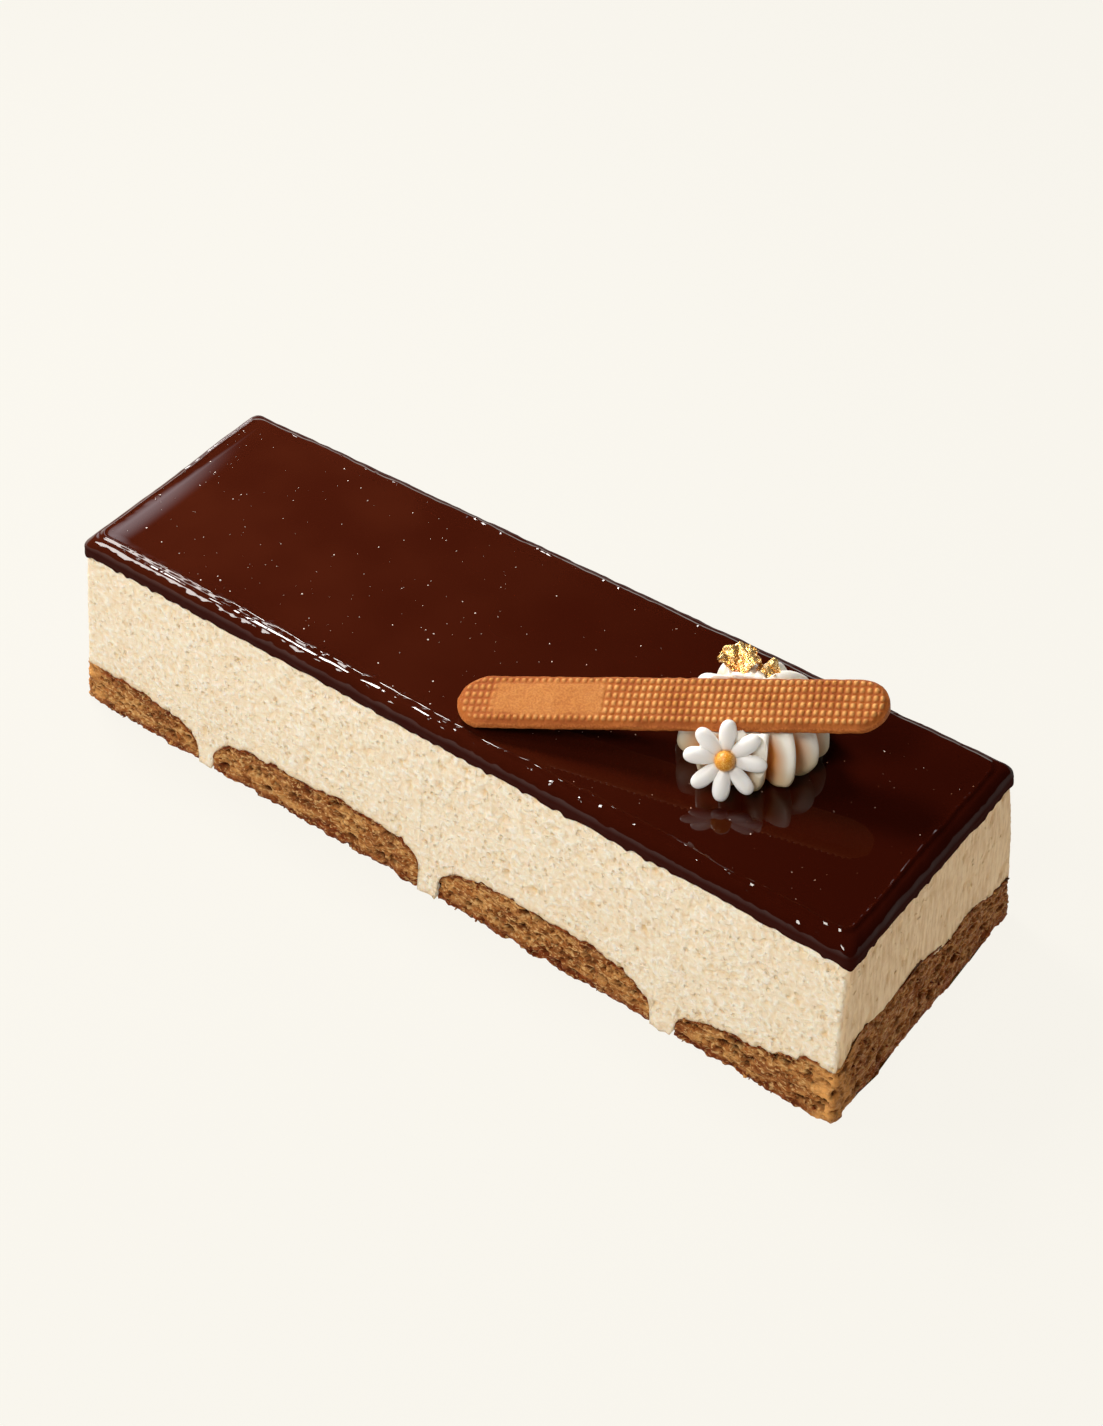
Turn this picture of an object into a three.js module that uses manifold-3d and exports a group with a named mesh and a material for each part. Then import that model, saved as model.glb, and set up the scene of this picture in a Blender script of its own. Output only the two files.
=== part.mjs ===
// A tiramisu bar: mascarpone cream on four soaked ladyfingers that lie crosswise, cut through on all
// four sides, under a poured chocolate glaze. On the glaze sit a piped cream rosette, a moulded biscuit
// stick that leans on it, a sugar daisy and two crumpled pieces of gold leaf.
// Millimetres, +Z up. The origin is the middle of the base, +X runs along the bar, -Y is its front.

import * as THREE from 'three';
import { mergeVertices } from 'three/addons/utils/BufferGeometryUtils.js';
import Module from 'manifold-3d';

// The cut bar spreads slightly towards its base. Its width grows towards its right end, by the share
// called widening over half its length.
const bar = {
  baseHalfLength: 60.9,
  topHalfLength: 59.44,
  baseHalfWidth: 20.46,
  topHalfWidth: 17.73,
  widening: 0.035,
  height: 25,
  edgeRadius: 0.9,
  levels: [0, 1.6, 3.6, 5.6, 7.8, 10.8, 15, 20, 25],
  crumbDepth: 0.55,
  creamDepth: 0.24,
  crumbTop: 8.5,
  tearWidth: 2.2,
  tearHeight: 1.9,
};

// Each ladyfinger is given by where it starts and ends along the bar, how high it stands and how much
// higher its right half is. The second has a blunter right end. The outer two are cut by the ends of
// the bar, where their tops swell to the heights listed in crest, from front to back.
const ladyfingers = [
  {
    start: -74.2,
    end: -39.7,
    height: 6.3,
    lean: -0.02,
    cutSide: -1,
    crest: [6.2, 7.6, 9.2, 8.3, 9.6, 8.5, 7.2, 6.8],
  },
  { start: -37.1, end: -1.6, height: 6.9, lean: 0.02, rightRound: 6 },
  { start: 1.5, end: 34.6, height: 6.9, lean: -0.06 },
  {
    start: 38.3,
    end: 72.6,
    height: 5.9,
    lean: 0.02,
    cutSide: 1,
    crest: [8.2, 11.7, 10.7, 11.3, 9.1, 9.9, 8.3, 7.1],
  },
];
const fingerRound = 3.4;
const fingerUnevenness = 0.4;
const crestReach = 11;

// Between pieces that touch, and the open space kept above a bed that is pressed into the cream.
const gap = 0.3;
const headroom = 8;

const glaze = {
  thickness: 2.8,
  overhang: 0.34,
  cornerRound: 1.6,
  lipStandoff: 0.1,
  lipThickness: 0.2,
  lipDrop: 0.5,
  cornerDrop: 0.45,
  cornerReach: 2.5,
  bulgeHeight: 0.5,
  edgeRidge: 0.16,
  ridgeInset: 1.4,
  ridgeFoot: 2.2,
  shoulder: [[0.1, 1.25], [0.4, 1.95], [0.85, 2.5]],
};
const glazeTop = bar.height + glaze.thickness;

const rosette = {
  centre: [32.75, 2.1],
  radius: 9.1,
  height: 9.3,
  belly: 2.4,
  lobes: 14,
  stepsPerLobe: 6,
  ridgeDepth: 0.24,
  ridgeFade: 0.4,
  crestSharpness: 0.9,
  bellyPlace: 0.2,
  footTuck: 0.05,
  fullness: 0.77,
  twist: 0.06,
  firstCrest: -0.96,
  rows: 11,
};

const stick = {
  leftEnd: [0.88, -13.77],
  spineLift: 0.32,
  length: 52.4,
  width: 7.2,
  thickness: 1.5,
  chamfer: 0.35,
  wallHeight: 0.7,
  sheetFloor: 0.6,
  turn: THREE.MathUtils.degToRad(23.45),
  rise: THREE.MathUtils.degToRad(11.2),
  roll: THREE.MathUtils.degToRad(12),
  clearance: 0.35,
  beadPitch: 0.84,
  beadRows: 6,
  beadRowPitch: 1.1,
  beadHeight: 0.28,
  edgeRound: 0.25,
  plainBorder: 0.38,
  patchStart: 4.6,
  patchEnd: 18.4,
  patchHalfWidth: 2.3,
};

const daisy = {
  centre: [34.05, -6.05, glazeTop + 4.8],
  facing: THREE.MathUtils.degToRad(28),
  lookUp: THREE.MathUtils.degToRad(30),
  petals: 8,
  reach: 4.95,
  cup: THREE.MathUtils.degToRad(7),
  petalLength: 4.1,
  petalWidth: 2.2,
  petalThickness: 1.15,
  tipWidening: 0.28,
  firstPetal: -0.04,
  petalRoll: 0.16,
  hubRadius: 1.9,
  hubThickness: 0.8,
  ballRadius: 1.22,
  ballLift: 0.75,
  dimpleGap: 0.06,
};

const goldLeaves = [
  {
    name: 'gold_leaf_large',
    centre: [28.35, 5.4, glazeTop + 9.0],
    width: 5.2,
    depth: 4.6,
    turn: 0.62,
    folds: 1.15,
    seed: 3,
  },
  {
    name: 'gold_leaf_small',
    centre: [31.75, 6.1, glazeTop + 9.0],
    width: 2.6,
    depth: 2.6,
    turn: -0.35,
    folds: 0.75,
    seed: 8,
  },
];
const leafCells = 8;
const leafThickness = 0.22;
const leafClearance = 0.12;

const looks = {
  sponge: { color: 0x7a4a28, roughness: 0.85, metalness: 0 },
  cream: { color: 0xecd9b8, roughness: 0.6, metalness: 0 },
  glaze: { color: 0x2c0b05, roughness: 0.06, metalness: 0 },
  piped: { color: 0xf3e9d6, roughness: 0.45, metalness: 0 },
  biscuit: { color: 0xc98a4c, roughness: 0.75, metalness: 0 },
  sugar: { color: 0xf2efe9, roughness: 0.4, metalness: 0 },
  sugarBall: { color: 0xd9952c, roughness: 0.35, metalness: 0.1 },
  gold: { color: 0xe0a63a, roughness: 0.22, metalness: 1 },
};

// A repeatable random value from 0 to 1 for whole-number places.
function hash(ix, iy, iz, seed) {
  const wave = Math.sin(ix * 127.1 + iy * 311.7 + iz * 74.7 + seed * 53.3) * 43758.5453;
  return wave - Math.floor(wave);
}

// Smooth noise from 0 to 1: hashed corner values blended inside each unit cube.
function noise(x, y, z, seed) {
  const [ix, iy, iz] = [Math.floor(x), Math.floor(y), Math.floor(z)];
  const ease = t => t * t * (3 - 2 * t);
  const [fx, fy, fz] = [ease(x - ix), ease(y - iy), ease(z - iz)];
  const corner = (a, b, c) => hash(ix + a, iy + b, iz + c, seed);
  const { lerp } = THREE.MathUtils;
  const side = c => lerp(
    lerp(corner(0, 0, c), corner(1, 0, c), fx),
    lerp(corner(0, 1, c), corner(1, 1, c), fx),
    fy,
  );
  return lerp(side(0), side(1), fz);
}

// A value read from a short list of evenly spaced heights, place running from 0 to 1.
function readAlong(values, place) {
  const { clamp, lerp, smoothstep } = THREE.MathUtils;
  const t = clamp(place, 0, 1) * (values.length - 1);
  const first = Math.min(Math.floor(t), values.length - 2);
  return lerp(values[first], values[first + 1], smoothstep(t - first, 0, 1));
}

function makeGeometry(points, triangles) {
  const geometry = new THREE.BufferGeometry().setFromPoints(points);
  geometry.setIndex(triangles);
  geometry.computeVertexNormals();
  return geometry;
}

// Closes a solid through rings of equal count. Each ring turns so that its direction of travel, crossed
// with the way to the next ring, points outwards; a fan round its middle closes each end.
function loftRings(rings) {
  const count = rings[0].length;
  const points = rings.flat();
  const middle = ring => ring.reduce((sum, p) => sum.add(p), new THREE.Vector3()).divideScalar(count);
  const startMiddle = points.push(middle(rings[0])) - 1;
  const endMiddle = points.push(middle(rings.at(-1))) - 1;
  const lastRing = (rings.length - 1) * count;
  const triangles = [];
  for (let j = 0; j < count; j++) {
    const next = (j + 1) % count;
    for (let i = 0; i + 1 < rings.length; i++) {
      const [a, b] = [i * count + j, i * count + next];
      triangles.push(a, b, b + count, a, b + count, a + count);
    }
    triangles.push(startMiddle, next, j, endMiddle, lastRing + j, lastRing + next);
  }
  return makeGeometry(points, triangles);
}

const wasm = await Module();
wasm.setup();

// A closed mesh as a solid that can be joined and cut.
function toSolid(geometry) {
  const bare = geometry.clone();
  bare.deleteAttribute('normal');
  bare.deleteAttribute('uv');
  const merged = mergeVertices(bare, 1e-4);
  return new wasm.Manifold(new wasm.Mesh({
    numProp: 3,
    vertProperties: merged.attributes.position.array,
    triVerts: Uint32Array.from(merged.index.array),
  }));
}

function toGeometry(solid) {
  const mesh = solid.getMesh();
  const geometry = new THREE.BufferGeometry();
  geometry.setAttribute('position', new THREE.BufferAttribute(mesh.vertProperties, 3));
  geometry.setIndex(Array.from(mesh.triVerts));
  geometry.computeVertexNormals();
  return geometry;
}

// Stations round a rectangle with round corners, counter-clockwise from the front left. A station holds
// its place as a share of the straight half sides and the way that its side or corner faces.
function rimStations(longCells, shortCells, cornerCells) {
  const stations = [];
  const { lerp } = THREE.MathUtils;
  const addSide = (from, to, facing, cells) => {
    for (let i = 0; i < cells; i++) {
      const t = i / cells;
      stations.push({ x: lerp(from[0], to[0], t), y: lerp(from[1], to[1], t), facing });
    }
  };
  const addCorner = (x, y, startFacing) => {
    for (let i = 0; i < cornerCells; i++) {
      stations.push({ x, y, facing: startFacing + (i / cornerCells) * Math.PI / 2 });
    }
  };
  addSide([-1, -1], [1, -1], -Math.PI / 2, longCells);
  addCorner(1, -1, -Math.PI / 2);
  addSide([1, -1], [1, 1], 0, shortCells);
  addCorner(1, 1, 0);
  addSide([1, 1], [-1, 1], Math.PI / 2, longCells);
  addCorner(-1, 1, Math.PI / 2);
  addSide([-1, 1], [-1, -1], Math.PI, shortCells);
  addCorner(-1, -1, Math.PI);
  return stations;
}

// The point of a station on a rectangle of these half sides, moved in by inset. Its corners keep at
// least a small radius, and the rectangle widens towards the right as the bar does.
function rimPoint(station, halfLength, halfWidth, radius, inset, z) {
  const leastRadius = 0.3;
  const round = Math.max(radius - inset, leastRadius);
  const x = station.x * (halfLength - inset - round) + round * Math.cos(station.facing);
  const y = station.y * (halfWidth - inset - round) + round * Math.sin(station.facing);
  return new THREE.Vector3(x, y * (1 + bar.widening * x / bar.baseHalfLength), z);
}

function halfLengthAt(z) {
  return THREE.MathUtils.lerp(bar.baseHalfLength, bar.topHalfLength, z / bar.height);
}

function halfWidthAt(z) {
  return THREE.MathUtils.lerp(bar.baseHalfWidth, bar.topHalfWidth, z / bar.height);
}

// The whole cut block before it is divided into cream and sponge, its sides torn inwards by noise,
// more deeply in the crumb of the sponge than in the cream.
function cutBlock() {
  const [longCells, shortCells, cornerCells] = [34, 11, 1];
  const stations = rimStations(longCells, shortCells, cornerCells);
  const rings = bar.levels.map(z => stations.map(station => {
    const flat = rimPoint(station, halfLengthAt(z), halfWidthAt(z), bar.edgeRadius, 0, z);
    const depth = z < bar.crumbTop ? bar.crumbDepth : bar.creamDepth;
    const tear = depth * noise(flat.x / bar.tearWidth, flat.y / bar.tearWidth, z / bar.tearHeight, 1);
    return rimPoint(station, halfLengthAt(z), halfWidthAt(z), bar.edgeRadius, tear, z);
  }));
  return toSolid(loftRings(rings));
}

// Height of a ladyfinger's top: across runs from -1 to 1 over its width, along from 0 to 1 front to back.
function fingerHeight(finger, x, across, along) {
  const body = finger.height * (1 + finger.lean * across);
  const wander = fingerUnevenness * (noise(x / 6, along * 7, 0, 5) - 0.5);
  if (!finger.crest) return body + wander;
  const nearEnd = finger.cutSide * x - (bar.topHalfLength - crestReach);
  const swell = THREE.MathUtils.smoothstep(nearEnd, 0, crestReach);
  return body + wander + swell * (readAlong(finger.crest, along) - finger.height);
}

// A ladyfinger as a crosswise loaf, its arch a superellipse, grown all round by the given amount. It
// runs past the block on the sides where it is cut.
function fingerLoaf(finger, grow) {
  const [archSteps, slices, overrun] = [12, 9, 1.5];
  const middle = (finger.start + finger.end) / 2;
  const halfSpan = (finger.end - finger.start) / 2 + grow;
  const reach = bar.baseHalfWidth + overrun;
  const rings = [];
  for (let k = 0; k <= slices; k++) {
    const along = k / slices;
    const y = THREE.MathUtils.lerp(-reach, reach, along);
    const ring = [];
    for (let i = 0; i <= archSteps; i++) {
      const angle = Math.PI * (1 - i / archSteps);
      const round = (angle < Math.PI / 2 && finger.rightRound) || fingerRound;
      const across = Math.sign(Math.cos(angle)) * Math.abs(Math.cos(angle)) ** (2 / round);
      const lift = Math.sin(angle) ** (2 / round);
      const x = middle + halfSpan * across;
      ring.push(new THREE.Vector3(x, y, lift * (fingerHeight(finger, x, across, along) + grow)));
    }
    for (const side of [1, -1]) ring.push(new THREE.Vector3(middle + side * halfSpan, y, -overrun));
    rings.push(ring);
  }
  return toSolid(loftRings(rings));
}

// How far the lip hangs below the underside of the glaze: uneven, with longer drips at the corners.
function lipDropAt(point) {
  const [dripSpacing, dripSharpness] = [3.1, 1.6];
  const ragged = noise(point.x / dripSpacing, point.y / dripSpacing, 0, 11) ** dripSharpness;
  const { smoothstep } = THREE.MathUtils;
  const nearEdge = (value, edge) => smoothstep(Math.abs(value), edge - glaze.cornerReach, edge);
  const nearCorner = nearEdge(point.x, bar.topHalfLength) * nearEdge(point.y, bar.topHalfWidth);
  return glaze.lipDrop * ragged + glaze.cornerDrop * nearCorner;
}

// The glaze is a slab with a rounded shoulder and a raised line along its edge, and a ragged lip that
// hangs just outside the cut cream.
function glazeSlab() {
  const [longCells, shortCells, cornerCells] = [40, 13, 2];
  const stations = rimStations(longCells, shortCells, cornerCells);
  const base = bar.height;
  const outline = (station, outset, z, radius) =>
    rimPoint(station, bar.topHalfLength, bar.topHalfWidth, radius, -outset, z);
  const rings = Array.from({ length: 6 + glaze.shoulder.length }, () => []);
  for (const station of stations) {
    const place = outline(station, 0, base, bar.edgeRadius);
    const drop = lipDropAt(place);
    const bulge = glaze.overhang * (0.6 + 0.8 * noise(place.x / 4, place.y / 4, 1, 12));
    const ridge = glaze.edgeRidge * noise(place.x / 5, place.y / 5, 2, 13);
    const inner = glaze.lipStandoff + 0.14 * drop;
    const profile = [
      [glaze.lipStandoff, 0],
      [inner, -drop],
      [inner + glaze.lipThickness, -drop - 0.04],
      [bulge, glaze.bulgeHeight],
      ...glaze.shoulder.map(([inset, height]) => [bulge - inset, height]),
      [bulge - glaze.ridgeInset, glaze.thickness + ridge],
      [bulge - glaze.ridgeFoot, glaze.thickness],
    ];
    profile.forEach(([outset, height], k) => {
      const radius = k < 3 ? bar.edgeRadius : glaze.cornerRound;
      rings[k].push(outline(station, outset, base + height, radius));
    });
  }
  return toSolid(loftRings(rings));
}

// Radius of the rosette's crests, and height, at a place from 0 at the base to 1 at the top: it swells
// to a belly and closes in a flattened dome, a quarter of a superellipse.
function rosetteProfile(place) {
  const { radius, height, belly, bellyPlace, footTuck, fullness } = rosette;
  if (place < bellyPlace) {
    const below = 1 - place / bellyPlace;
    return { radius: radius * (1 - footTuck * below * below), z: belly * (1 - below) };
  }
  const swing = (place - bellyPlace) / (1 - bellyPlace) * Math.PI / 2;
  return {
    radius: radius * Math.cos(swing) ** fullness,
    z: belly + (height - belly) * Math.sin(swing) ** fullness,
  };
}

// Nearly straight ridges with crests narrower than the valleys between them, fading towards the top.
function rosetteSolid() {
  const count = rosette.lobes * rosette.stepsPerLobe;
  const rings = [];
  for (let k = 0; k < rosette.rows; k++) {
    const place = k / rosette.rows;
    const { radius, z } = rosetteProfile(place);
    const depth = rosette.ridgeDepth * (1 - rosette.ridgeFade * place);
    const ring = [];
    for (let i = 0; i < count; i++) {
      const turn = (i / count) * 2 * Math.PI;
      const crest = (0.5 + 0.5 * Math.cos(turn * rosette.lobes)) ** rosette.crestSharpness;
      const reach = radius * (1 - depth * (1 - crest));
      const angle = turn + rosette.firstCrest + rosette.twist * place;
      ring.push(new THREE.Vector3(
        rosette.centre[0] + reach * Math.cos(angle),
        rosette.centre[1] + reach * Math.sin(angle),
        glazeTop + z,
      ));
    }
    rings.push(ring);
  }
  return toSolid(loftRings(rings));
}

// Round-ended outline of the stick in its own frame, x along it from 0 and y across it.
function stickOutline(inset, z) {
  const endSteps = 10;
  const radius = stick.width / 2;
  const points = [];
  for (let side = 0; side < 2; side++) {
    for (let i = 0; i <= endSteps; i++) {
      const angle = Math.PI * (side - 0.5 + i / endSteps);
      const centre = side === 0 ? stick.length - radius : radius;
      points.push(new THREE.Vector3(
        centre + (radius - inset) * Math.cos(angle),
        (radius - inset) * Math.sin(angle),
        z,
      ));
    }
  }
  return points;
}

// How far a place on the stick lies inside its round-ended outline.
function depthInStick(x, y) {
  const radius = stick.width / 2;
  const alongSpine = THREE.MathUtils.clamp(x, radius, stick.length - radius);
  return radius - Math.hypot(x - alongSpine, y);
}

// The top of the stick: flat, falling away towards the outline.
function stickTop(x, y) {
  const near = THREE.MathUtils.clamp(1 - depthInStick(x, y) / (2 * stick.edgeRound), 0, 1);
  return stick.thickness - stick.edgeRound * near * near;
}

function isBead(x, y) {
  const onPatch = x > stick.patchStart && x < stick.patchEnd && Math.abs(y) < stick.patchHalfWidth;
  return !onPatch && depthInStick(x, y) > stick.plainBorder;
}

// The pressed grid of beads as one sheet of small pyramids over the whole stick, closed below. A patch
// near the left end and a narrow border stay plain.
function beadSheet() {
  const columns = Math.round(stick.length / stick.beadPitch);
  const pitch = stick.length / columns;
  const halfGrid = stick.beadRows * stick.beadRowPitch / 2;
  const halfSheet = stick.width / 2 + 0.2;
  const rowEdges = [-halfSheet];
  for (let j = 0; j <= stick.beadRows; j++) rowEdges.push(-halfGrid + j * stick.beadRowPitch);
  rowEdges.push(halfSheet);
  const rows = rowEdges.length;
  const points = [];
  for (let i = 0; i <= columns; i++) {
    for (const y of rowEdges) points.push(new THREE.Vector3(i * pitch, y, stickTop(i * pitch, y)));
  }
  const at = (i, j) => i * rows + j;
  const triangles = [];
  for (let i = 0; i < columns; i++) {
    for (let j = 0; j + 1 < rows; j++) {
      const corners = [at(i, j), at(i + 1, j), at(i + 1, j + 1), at(i, j + 1)];
      const [x, y] = [(i + 0.5) * pitch, (rowEdges[j] + rowEdges[j + 1]) / 2];
      if (!isBead(x, y)) {
        triangles.push(corners[0], corners[1], corners[2], corners[0], corners[2], corners[3]);
        continue;
      }
      const peak = points.push(new THREE.Vector3(x, y, stickTop(x, y) + stick.beadHeight)) - 1;
      corners.forEach((corner, n) => triangles.push(corner, corners[(n + 1) % 4], peak));
    }
  }
  closeBelow(points, triangles, sheetRim(columns, rows, at), stick.sheetFloor);
  return toSolid(makeGeometry(points, triangles));
}

// The border of a grid of places, counter-clockwise from above.
function sheetRim(columns, rows, at) {
  const rim = [];
  for (let i = 0; i < columns; i++) rim.push(at(i, 0));
  for (let j = 0; j < rows - 1; j++) rim.push(at(columns, j));
  for (let i = columns; i > 0; i--) rim.push(at(i, rows - 1));
  for (let j = rows - 1; j > 0; j--) rim.push(at(0, j));
  return rim;
}

// Walls down from a rim to a flat floor that is fanned round its middle.
function closeBelow(points, triangles, rim, floor) {
  const foot = rim.map(index => points.push(points[index].clone().setZ(floor)) - 1);
  const sum = foot.reduce((total, index) => total.add(points[index]), new THREE.Vector3());
  const middle = points.push(sum.divideScalar(foot.length)) - 1;
  rim.forEach((upper, n) => {
    const next = (n + 1) % rim.length;
    triangles.push(foot[n], foot[next], rim[next], foot[n], rim[next], upper, middle, foot[next], foot[n]);
  });
}

// The beads, cut to the outline, on a lower half with a chamfered foot.
function stickSolid() {
  const { chamfer, wallHeight, thickness } = stick;
  const rings = [stickOutline(chamfer, 0), stickOutline(0, chamfer), stickOutline(0, wallHeight)];
  const lower = toSolid(loftRings(rings));
  const blank = toSolid(loftRings([...rings, stickOutline(0, 2 * thickness)]));
  return lower.add(blank.intersect(beadSheet()));
}

// The bed that the stick presses into the cream: its outline grown by the gap and open upwards.
function stickBed() {
  return toSolid(loftRings([stickOutline(-gap, -gap), stickOutline(-gap, headroom)]));
}

// Where the stick lies: its left end just above the glaze, its right end raised on the rosette, and
// rolled a little towards the front, so that its far edge is the higher one.
function stickPlacement() {
  const place = new THREE.Matrix4().makeTranslation(
    stick.leftEnd[0],
    stick.leftEnd[1],
    glazeTop + stick.clearance + stick.spineLift,
  );
  place.multiply(new THREE.Matrix4().makeRotationZ(stick.turn));
  place.multiply(new THREE.Matrix4().makeRotationY(-stick.rise));
  return place.multiply(new THREE.Matrix4().makeRotationX(stick.roll));
}

// One plump petal in the flower's own plane, its tip outwards and tipped up a little, wider near the
// tip, rolled a little to one side or the other and grown all round by the given amount.
function petalSolid(index, grow) {
  const petal = new THREE.SphereGeometry(1, 10, 6).rotateZ(Math.PI / 2);
  const position = petal.attributes.position;
  for (let i = 0; i < position.count; i++) {
    position.setY(i, position.getY(i) * (1 + daisy.tipWidening * position.getX(i)));
  }
  petal.scale(daisy.petalLength / 2 + grow, daisy.petalWidth / 2 + grow, daisy.petalThickness / 2 + grow);
  petal.rotateX(daisy.petalRoll * (2 * hash(index, 0, 0, 17) - 1));
  petal.translate(daisy.reach - daisy.petalLength / 2, 0, 0);
  petal.rotateY(-daisy.cup);
  petal.rotateZ((index / daisy.petals) * 2 * Math.PI + daisy.firstPetal);
  return toSolid(petal);
}

function ballGeometry(radius) {
  return new THREE.SphereGeometry(radius, 12, 9).translate(0, 0, daisy.ballLift);
}

// Eight petals round a small hub.
function flowerSolid(grow) {
  const radius = daisy.hubRadius + grow;
  const hub = new THREE.CylinderGeometry(radius, radius, daisy.hubThickness + 2 * grow, 12);
  let flower = toSolid(hub.rotateX(Math.PI / 2));
  for (let i = 0; i < daisy.petals; i++) flower = flower.add(petalSolid(i, grow));
  return flower;
}

// The bed that the flower presses into the cream: its own form grown by the gap, open to the front over
// the hub.
function flowerBed() {
  const radius = daisy.hubRadius + gap;
  const well = new THREE.CylinderGeometry(radius, radius, headroom, 12).rotateX(Math.PI / 2);
  return flowerSolid(gap).add(toSolid(well.translate(0, 0, headroom / 2)));
}

// The petals, dimpled where the ball sits.
// The petals, dimpled where the ball sits.
function petalsSolid() {
  return flowerSolid(0).subtract(toSolid(ballGeometry(daisy.ballRadius + daisy.dimpleGap)));
}

// The flower's plane faces forwards and to the right, tipped up a little; its bottom petal stands
// just above the glaze.
function daisyPlacement() {
  const place = new THREE.Matrix4().makeTranslation(...daisy.centre);
  place.multiply(new THREE.Matrix4().makeRotationZ(daisy.facing));
  return place.multiply(new THREE.Matrix4().makeRotationX(Math.PI / 2 - daisy.lookUp));
}

// Height of a crumpled leaf over its own middle: a sharp zigzag fold, a weaker one across it and noise.
function leafHeight(leaf, x, y) {
  const zigzag = (value, period) => Math.abs(((value / period) % 2 + 2) % 2 - 1) - 0.5;
  const main = zigzag(0.9 * x + 0.5 * y + leaf.seed, leaf.width / 2.6);
  const cross = zigzag(y - 0.35 * x + 0.7 * leaf.seed, leaf.depth / 2.2);
  const crumple = noise(1.1 * x, 1.1 * y, 0, leaf.seed) - 0.5;
  return leaf.folds * (0.95 * main + 0.6 * cross + 0.9 * crumple);
}

// A wavy sheet with a torn outline, both faces split into triangles alike and standing this far above
// and below its middle surface.
function leafGeometry(leaf, above, below) {
  const count = leafCells + 1;
  const [upper, lower] = [[], []];
  for (let i = 0; i < count; i++) {
    for (let j = 0; j < count; j++) {
      const [u, v] = [2 * i / leafCells - 1, 2 * j / leafCells - 1];
      const torn = 0.8 + 0.4 * noise(Math.atan2(v, u) * 2.2 + 9, Math.hypot(u, v) * 0.6, 3, leaf.seed);
      const pull = torn * (1 - 0.22 * Math.max(Math.abs(u), Math.abs(v)) * Math.abs(u * v));
      const x = u * leaf.width / 2 * pull;
      const y = v * leaf.depth / 2 * pull;
      const z = leafHeight(leaf, x, y);
      upper.push(new THREE.Vector3(x, y, z + above));
      lower.push(new THREE.Vector3(x, y, z - below));
    }
  }
  const at = (i, j) => i * count + j;
  const under = upper.length;
  const triangles = [];
  for (let i = 0; i < leafCells; i++) {
    for (let j = 0; j < leafCells; j++) {
      const [a, b, c, d] = [at(i, j), at(i + 1, j), at(i + 1, j + 1), at(i, j + 1)];
      triangles.push(a, b, c, a, c, d, under + a, under + c, under + b, under + a, under + d, under + c);
    }
  }
  const rim = sheetRim(leafCells, count, at);
  rim.forEach((edge, n) => {
    const next = rim[(n + 1) % rim.length];
    triangles.push(under + edge, under + next, next, under + edge, next, edge);
  });
  return makeGeometry([...upper, ...lower], triangles);
}

function leafPlacement(leaf) {
  const place = new THREE.Matrix4().makeTranslation(...leaf.centre);
  return place.multiply(new THREE.Matrix4().makeRotationZ(leaf.turn));
}

// The rosette gives way to the stick, the flower and the gold leaf that are pressed on it. The beds of
// the stick and the leaf are open upwards.
function pressedRosette() {
  const bedAt = (bed, place) => bed.transform(place.elements);
  let cream = rosetteSolid();
  cream = cream.subtract(bedAt(stickBed(), stickPlacement()));
  cream = cream.subtract(bedAt(flowerBed(), daisyPlacement()));
  for (const leaf of goldLeaves) {
    const bed = toSolid(leafGeometry(leaf, headroom, leafThickness / 2 + leafClearance));
    cream = cream.subtract(bedAt(bed, leafPlacement(leaf)));
  }
  return cream;
}

function addMesh(parent, name, geometry, look) {
  const mesh = new THREE.Mesh(geometry, new THREE.MeshStandardMaterial(look));
  mesh.name = name;
  parent.add(mesh);
  return mesh;
}

function addPlacedGroup(parent, place) {
  const group = new THREE.Group();
  place.decompose(group.position, group.quaternion, group.scale);
  parent.add(group);
  return group;
}

function buildTiramisu() {
  const tiramisu = new THREE.Group();
  const block = cutBlock();
  let cream = block;
  ladyfingers.forEach((finger, i) => {
    cream = cream.subtract(fingerLoaf(finger, gap));
    const cut = block.intersect(fingerLoaf(finger, 0));
    addMesh(tiramisu, `ladyfinger_${i + 1}`, toGeometry(cut), looks.sponge);
  });
  addMesh(tiramisu, 'mascarpone_cream', toGeometry(cream), looks.cream);
  addMesh(tiramisu, 'chocolate_glaze', toGeometry(glazeSlab()), looks.glaze);
  addMesh(tiramisu, 'cream_rosette', toGeometry(pressedRosette()), looks.piped);

  const stickGroup = addPlacedGroup(tiramisu, stickPlacement());
  addMesh(stickGroup, 'biscuit_stick', toGeometry(stickSolid()), looks.biscuit);

  const flower = addPlacedGroup(tiramisu, daisyPlacement());
  addMesh(flower, 'daisy_petals', toGeometry(petalsSolid()), looks.sugar);
  addMesh(flower, 'daisy_centre', ballGeometry(daisy.ballRadius), looks.sugarBall);

  for (const leaf of goldLeaves) {
    const leafSheet = leafGeometry(leaf, leafThickness / 2, leafThickness / 2);
    addMesh(addPlacedGroup(tiramisu, leafPlacement(leaf)), leaf.name, leafSheet, looks.gold);
  }
  return tiramisu;
}

const group = buildTiramisu();

export default group;
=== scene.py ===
import itertools
import math

import bpy
import numpy as np
from mathutils import Matrix


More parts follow.
